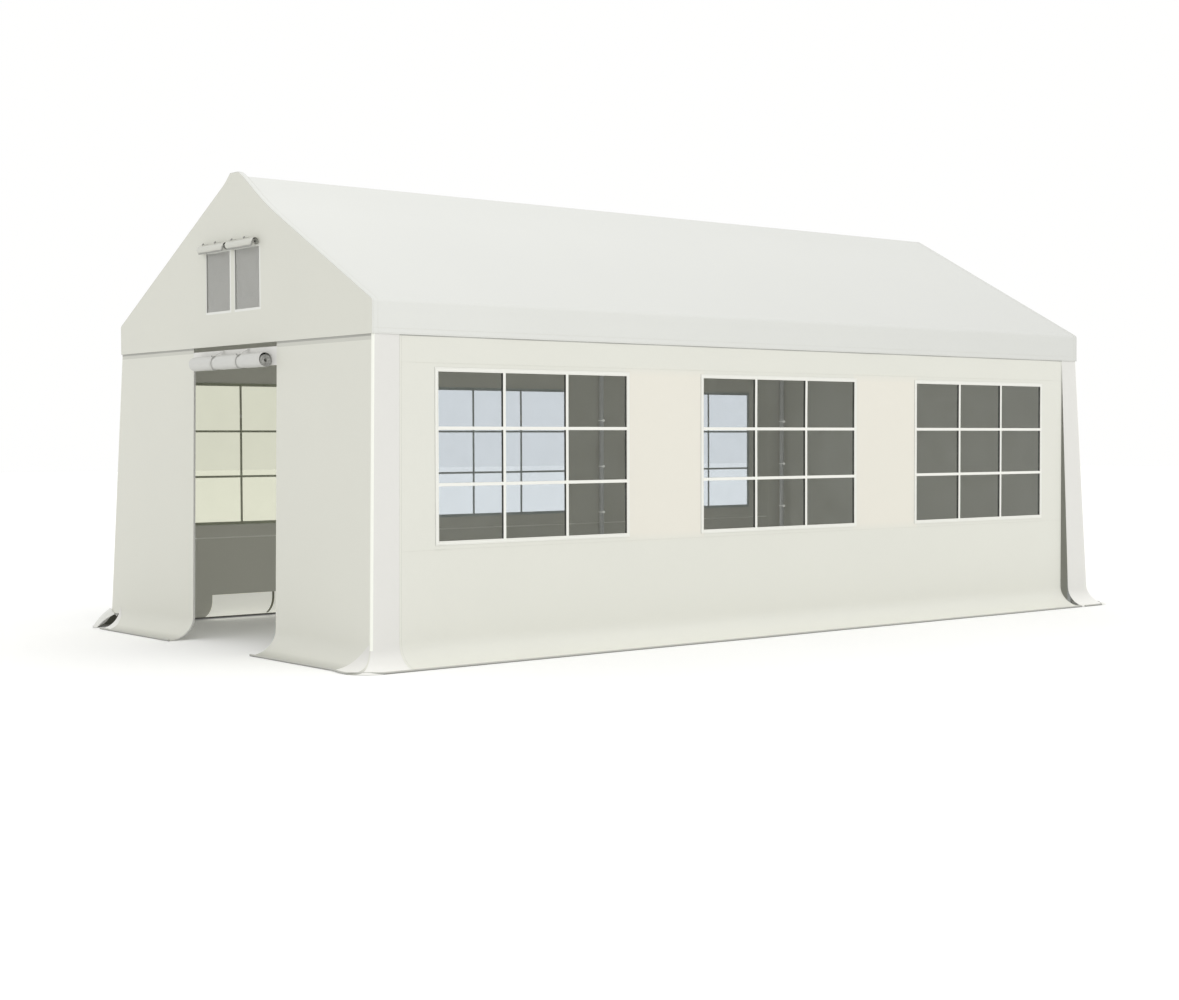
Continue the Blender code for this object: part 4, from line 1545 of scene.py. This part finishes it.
flaps = {}
flap_trim = {}
for end, turned in ENDS:
    for number in (1, 2):
        low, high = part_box(f"vent_roll_{end}_{number}")
        left, right = (-high.x, -low.x) if turned else (low.x, high.x)
        tie_x = [left + (right - left) * share for share in FLAP_TOGGLES]
        flaps[end, number] = roll_cloth(f"vent_flap_{end}_{number}", (FLAP_Y, FLAP_Z), left, right,
                                        flap_route, tie_x, FLAP_PINCH, [flap_shade_finish, rolled_in_finish],
                                        turned, 0.02)
        trim = []

        def seam_place(x, z, turned=turned):
            return half_turned((x, -HALF_L - 0.0016, z), turned)

        trim.append(weave(f"vent_flap_seam_{end}_{number}", spread([left, right], 0.05),
                          spread([FLAP_Z, FLAP_SEAM_Z], 0.02), seam_place, [gable_finish], [gable_finish],
                          thick=TRIM_CLOTH))
        trim.append(piping(f"vent_flap_shadow_cord_{end}_{number}", [flap_shadow_route(left, right, turned)], FLAP_SHADOW_R,
                           toggle_and_shadow_cord_finish))
        trim.append(piping(f"vent_loops_{end}_{number}", [loop_route(x, turned) for x in tie_x], LOOP_R,
                           strap_finish))
        for place, x in enumerate(tie_x, start=1):
            centre = half_turned((x, FLAP_Y - 0.008, FLAP_Z + FLAP_R + 0.005), turned)
            trim.append(peg(f"vent_toggle_{end}_{number}_{place}", centre, (1.0, 0.0, 0.4), FLAP_PEG,
                            toggle_and_shadow_cord_finish, 8))
        flap_trim[end, number] = trim

# %% [markdown]
# ## Ties
# The cloth is held to the frame with elastic ties: a loop of cord round the tube and a ball that
# locks it. On the legs they sit at four heights. One tree sets a loop and a ball at each step up
# a line, with the ball on the side that its reach names.

# %% Ties
TIE_HEIGHTS = (0.64, 1.71)
TIE_COUNT = 4
TUBE_R = 0.019
TIE_CORD_R = 0.0032
TIE_BALL_R = 0.0105


def tie_tree():
    sketch, given = new_tree("ties", [("Start", "Vector"), ("Step", "Vector"), ("Count", "Int"),
                                      ("Turn", "Rotation"), ("Loop Radius", "Float"),
                                      ("Cord Radius", "Float"), ("Ball Radius", "Float"),
                                      ("Ball Reach", "Vector")])
    circle, cord = (sketch.node("GeometryNodeCurvePrimitiveCircle",
                                {"Resolution": sides, "Radius": given[radius]})
                    for sides, radius in ((16, "Loop Radius"), (6, "Cord Radius")))
    loop = sketch.node("GeometryNodeCurveToMesh",
                       {"Curve": circle.outputs[0], "Profile Curve": cord.outputs[0]})
    turned = sketch.node("GeometryNodeTransform", {"Geometry": loop.outputs[0], "Rotation": given["Turn"]})
    ball = sketch.node("GeometryNodeMeshUVSphere",
                       {"Segments": 12, "Rings": 8, "Radius": given["Ball Radius"]})
    beside = sketch.node("GeometryNodeTransform",
                         {"Geometry": ball.outputs[0], "Translation": given["Ball Reach"]})
    line = sketch.node("GeometryNodeMeshLine",
                       {"Count": given["Count"], "Start Location": given["Start"], "Offset": given["Step"]})
    placed = sketch.node("GeometryNodeInstanceOnPoints",
                         {"Points": line.outputs[0],
                          "Instance": sketch.join(turned.outputs[0], beside.outputs[0])})
    return close_tree(sketch, placed.outputs[0], given)


ties = tie_tree()
TIE_STEP = (TIE_HEIGHTS[1] - TIE_HEIGHTS[0]) / (TIE_COUNT - 1)
RAIL_TIE_STEP = 0.42


def tie_row(name, start, step, turn, loop_r, cord_r, ball_reach):
    sizes = {"Loop Radius": loop_r, "Cord Radius": cord_r, "Ball Radius": TIE_BALL_R,
             "Ball Reach": ball_reach}
    return grow(empty_mesh(f"ties_{name}"), ties, Start=start, Step=step, Count=TIE_COUNT, Turn=turn,
                Finish=white_plastic_painted_glow, **sizes)


frame_ties = []
for name, place in sorted(leg_places.items()):
    inwards = -1.0 if place.x > 0 else 1.0
    frame_ties.append(tie_row(name, (place.x, place.y, TIE_HEIGHTS[0]), (0.0, 0.0, TIE_STEP), (0.0, 0.0, 0.0),
                              TUBE_R + TIE_CORD_R * 0.8, TIE_CORD_R,
                              (inwards * (TUBE_R + TIE_BALL_R * 0.7), 0.0, 0.0)))
for name in sorted(name for name in nodes if name.startswith("eave_rail")):
    middle = sum(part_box(name), Vector()) / 2
    inwards = -1.0 if middle.x > 0 else 1.0
    frame_ties.append(tie_row(name, (middle.x, middle.y - 1.5 * RAIL_TIE_STEP, middle.z),
                              (0.0, RAIL_TIE_STEP, 0.0), (pi / 2, 0.0, 0.0),
                              TUBE_R + TIE_CORD_R * 0.2, TIE_CORD_R * 0.6,
                              (inwards * 0.008, 0.0, -TUBE_R - TIE_BALL_R * 0.7)))
print("ties:", TIE_COUNT * len(frame_ties))

# %% [markdown]
# ## Seams
# Panels are sewn, and a row of stitches is what the eye looks for on cloth at arm's length. The
# rows run round every window, level above and below them, up the side walls' ends, along the
# valance hems and over the roof's two end hems. Inside, a pale tape covers the lower wall's seam,
# and an olive strap runs down the skirt.

# %% Seams
STITCH_LIFT = 0.0004
SEAM_IN, SEAM_AWAY, END_SEAM_IN, HEM_SEAM = 0.01, 0.045, 0.012, 0.006
TAPE_Z, TAPE_HALF, INSIDE = 0.555, 0.004, CLOTH + 0.0014


def window_route(side, centre, away):
    """The four corners round a window, as one closed line."""
    low, high = WINDOW_LOW_Z - away, WINDOW_HIGH_Z + away
    near, far = centre - WINDOW_HALF - away, centre + WINDOW_HALF + away
    loop = [(near, low), (far, low), (far, high), (near, high), (near, low)]
    route = []
    for (y, z), (next_y, next_z) in zip(loop, loop[1:]):
        count = ceil(max(abs(next_y - y), abs(next_z - z)) / ROUTE_STEP)
        for number in range(count):
            share = number / count
            route.append(side_wall_point(side, y + (next_y - y) * share,
                                         cloth_height(z + (next_z - z) * share), BORDER_PROUD + STITCH_LIFT))
    return route + route[:1]


wall_seams = []
for word, side in SIDES:
    routes = []
    for centre in window_y:
        routes += [window_route(side, centre, BORDER - 0.005), window_route(side, centre, HEM_SEAM)]
    for z in (WINDOW_LOW_Z - SEAM_AWAY, WINDOW_HIGH_Z + SEAM_AWAY):
        routes.append([side_wall_point(side, y, cloth_height(z), STITCH_LIFT)
                       for y in spread([-SIDE_EDGE + SEAM_IN, SIDE_EDGE - SEAM_IN], ROUTE_STEP)])
    for y in (-SIDE_EDGE + END_SEAM_IN, SIDE_EDGE - END_SEAM_IN):
        routes.append([side_wall_point(side, y, length, STITCH_LIFT) for length in side_rows[2:-2]])
    wall_seams.append(stitch(f"side_wall_stitches_{word}", routes))

roof_routes = []
for sign in (-1.0, 1.0):
    for inside in (HEM_SEAM, HEM_WIDTH - 0.004):
        across = sign * (SECTION_HALF - inside)
        roof_routes.append([roof_place(across, y)
                            for y in spread([-HALF_L + SEAM_IN, HALF_L - SEAM_IN], ROUTE_STEP)])
for y in (-HALF_L + 0.008, -HALF_L + HEM_WIDTH, HALF_L - HEM_WIDTH, HALF_L - 0.008):
    roof_routes.append([roof_place(across, y) for across in across_lines])
roof_stitches = stitch("roof_stitches", roof_routes)

tapes = []
for word, side in SIDES:
    def tape_place(y, z, side=side):
        return side_wall_point(side, y, cloth_height(z), -INSIDE)

    columns = spread([-SIDE_EDGE + 0.02, SIDE_EDGE - 0.02], 0.08)
    if side > 0:
        columns.reverse()
    tapes.append(weave(f"seam_tape_{word}", columns, [TAPE_Z - TAPE_HALF, TAPE_Z + TAPE_HALF], tape_place,
                       [hem_finish], [hem_finish], thick=THIN_CLOTH))
INNER_STRAP_Y, INNER_STRAP_WIDTH = -1.909, 0.016
inner_strap_rows = [row for row in side_rows if PAINTED_SHADE_FOOT < row < cloth_height(INNER_SKIRT_Z) + 0.001]
inner_straps = []
for word, side in SIDES:
    def strap_place(y, length, side=side):
        """On the cloth's inner face, which turns over with the skirt."""
        slope = acos(1.0 - skirt_share(length)[0])
        x, y, z = side_wall_point(side, y, length, -INSIDE * cos(slope))
        return (x, y, z - INSIDE * sin(slope))

    ends = [INNER_STRAP_Y - INNER_STRAP_WIDTH / 2, INNER_STRAP_Y + INNER_STRAP_WIDTH / 2]
    inner_straps.append(weave(f"inner_strap_{word}", ends[::-1] if side > 0 else ends, inner_strap_rows,
                              strap_place, [olive_and_shadow_finish], [olive_and_shadow_finish], thick=THIN_CLOTH))
print("stitches:", sum(len(row.data.polygons) for row in [*wall_seams, roof_stitches]) // 6)

# %% [markdown]
# ## Everything rides with the tent
# Nothing on this tent moves, so every piece rides on the one body. Each piece of cloth stands
# for the plain solid in its place, and the walls' flat cut sizes and areas are worked out.

# %% Pieces
rails = [name for name in nodes if name.startswith(("eave_rail_", "ridge_rail_"))]

settle(roof_cover, "roof_fabric", "roof_cover")
settle(roof_stitches, "roof_fabric")

for end, piece in gables.items():
    settle(piece, "roof_fabric", f"gable_{end}")
    settle(vent_shadow_cords[end], "roof_fabric")
    for number in (1, 2):
        settle(vent_nets[end, number], "vent_mesh", f"vent_screen_{end}_{number}")
        settle(flaps[end, number], "roof_fabric", f"vent_roll_{end}_{number}")
        for trim in flap_trim[end, number]:
            settle(trim, "roof_fabric")
        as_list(flap_trim[end, number])

wall_height = cloth_height(WALL_TOP_Z)
end_cut = (2 * END_HALF, wall_height)
end_area = end_cut[0] * end_cut[1] - 2 * DOOR_HALF * cloth_height(DOOR_TOP_Z)
for end, piece in end_walls.items():
    number = 1 if end == "front" else 4
    settle(piece, "wall_fabric", f"end_wall_{end}")
    for corner_piece in corner_pieces[end]:
        settle(corner_piece, "wall_fabric")
    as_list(corner_pieces[end])

settle(door_roll, "wall_fabric", "door_roll_front")
for piece in (door_strip, lintel, *door_straps, *door_pegs, *door_bindings):
    settle(piece, "wall_fabric")
settle(back_door, "wall_fabric", "door_panel_back")
for piece in back_zips:
    settle(piece, "wall_fabric")
cloth_height(DOOR_TOP_Z)

side_cut = (2 * SIDE_EDGE, wall_height)
side_area = side_cut[0] * side_cut[1] - 3 * 2 * WINDOW_HALF * (WINDOW_HIGH_Z - WINDOW_LOW_Z)
for (word, piece), *trims in zip(side_walls.items(), wall_seams, tapes, hem_ropes, inner_straps):
    settle(piece, "wall_fabric", f"side_wall_{word}")
    for trim in trims:
        settle(trim, "wall_fabric")
    for number in (1, 2, 3):
        bars = settle(window_pieces[f"window_bars_{word}_{number}"], "wall_fabric")
        film = settle(window_pieces[f"window_film_sheet_{word}_{number}"], "window_film",
                      f"window_film_{word}_{number}")
        trims += [bars, film]
    [rail for rail in rails if word in rail]
    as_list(trims)
for piece in frame_ties:
    settle(piece, "wall_fabric")
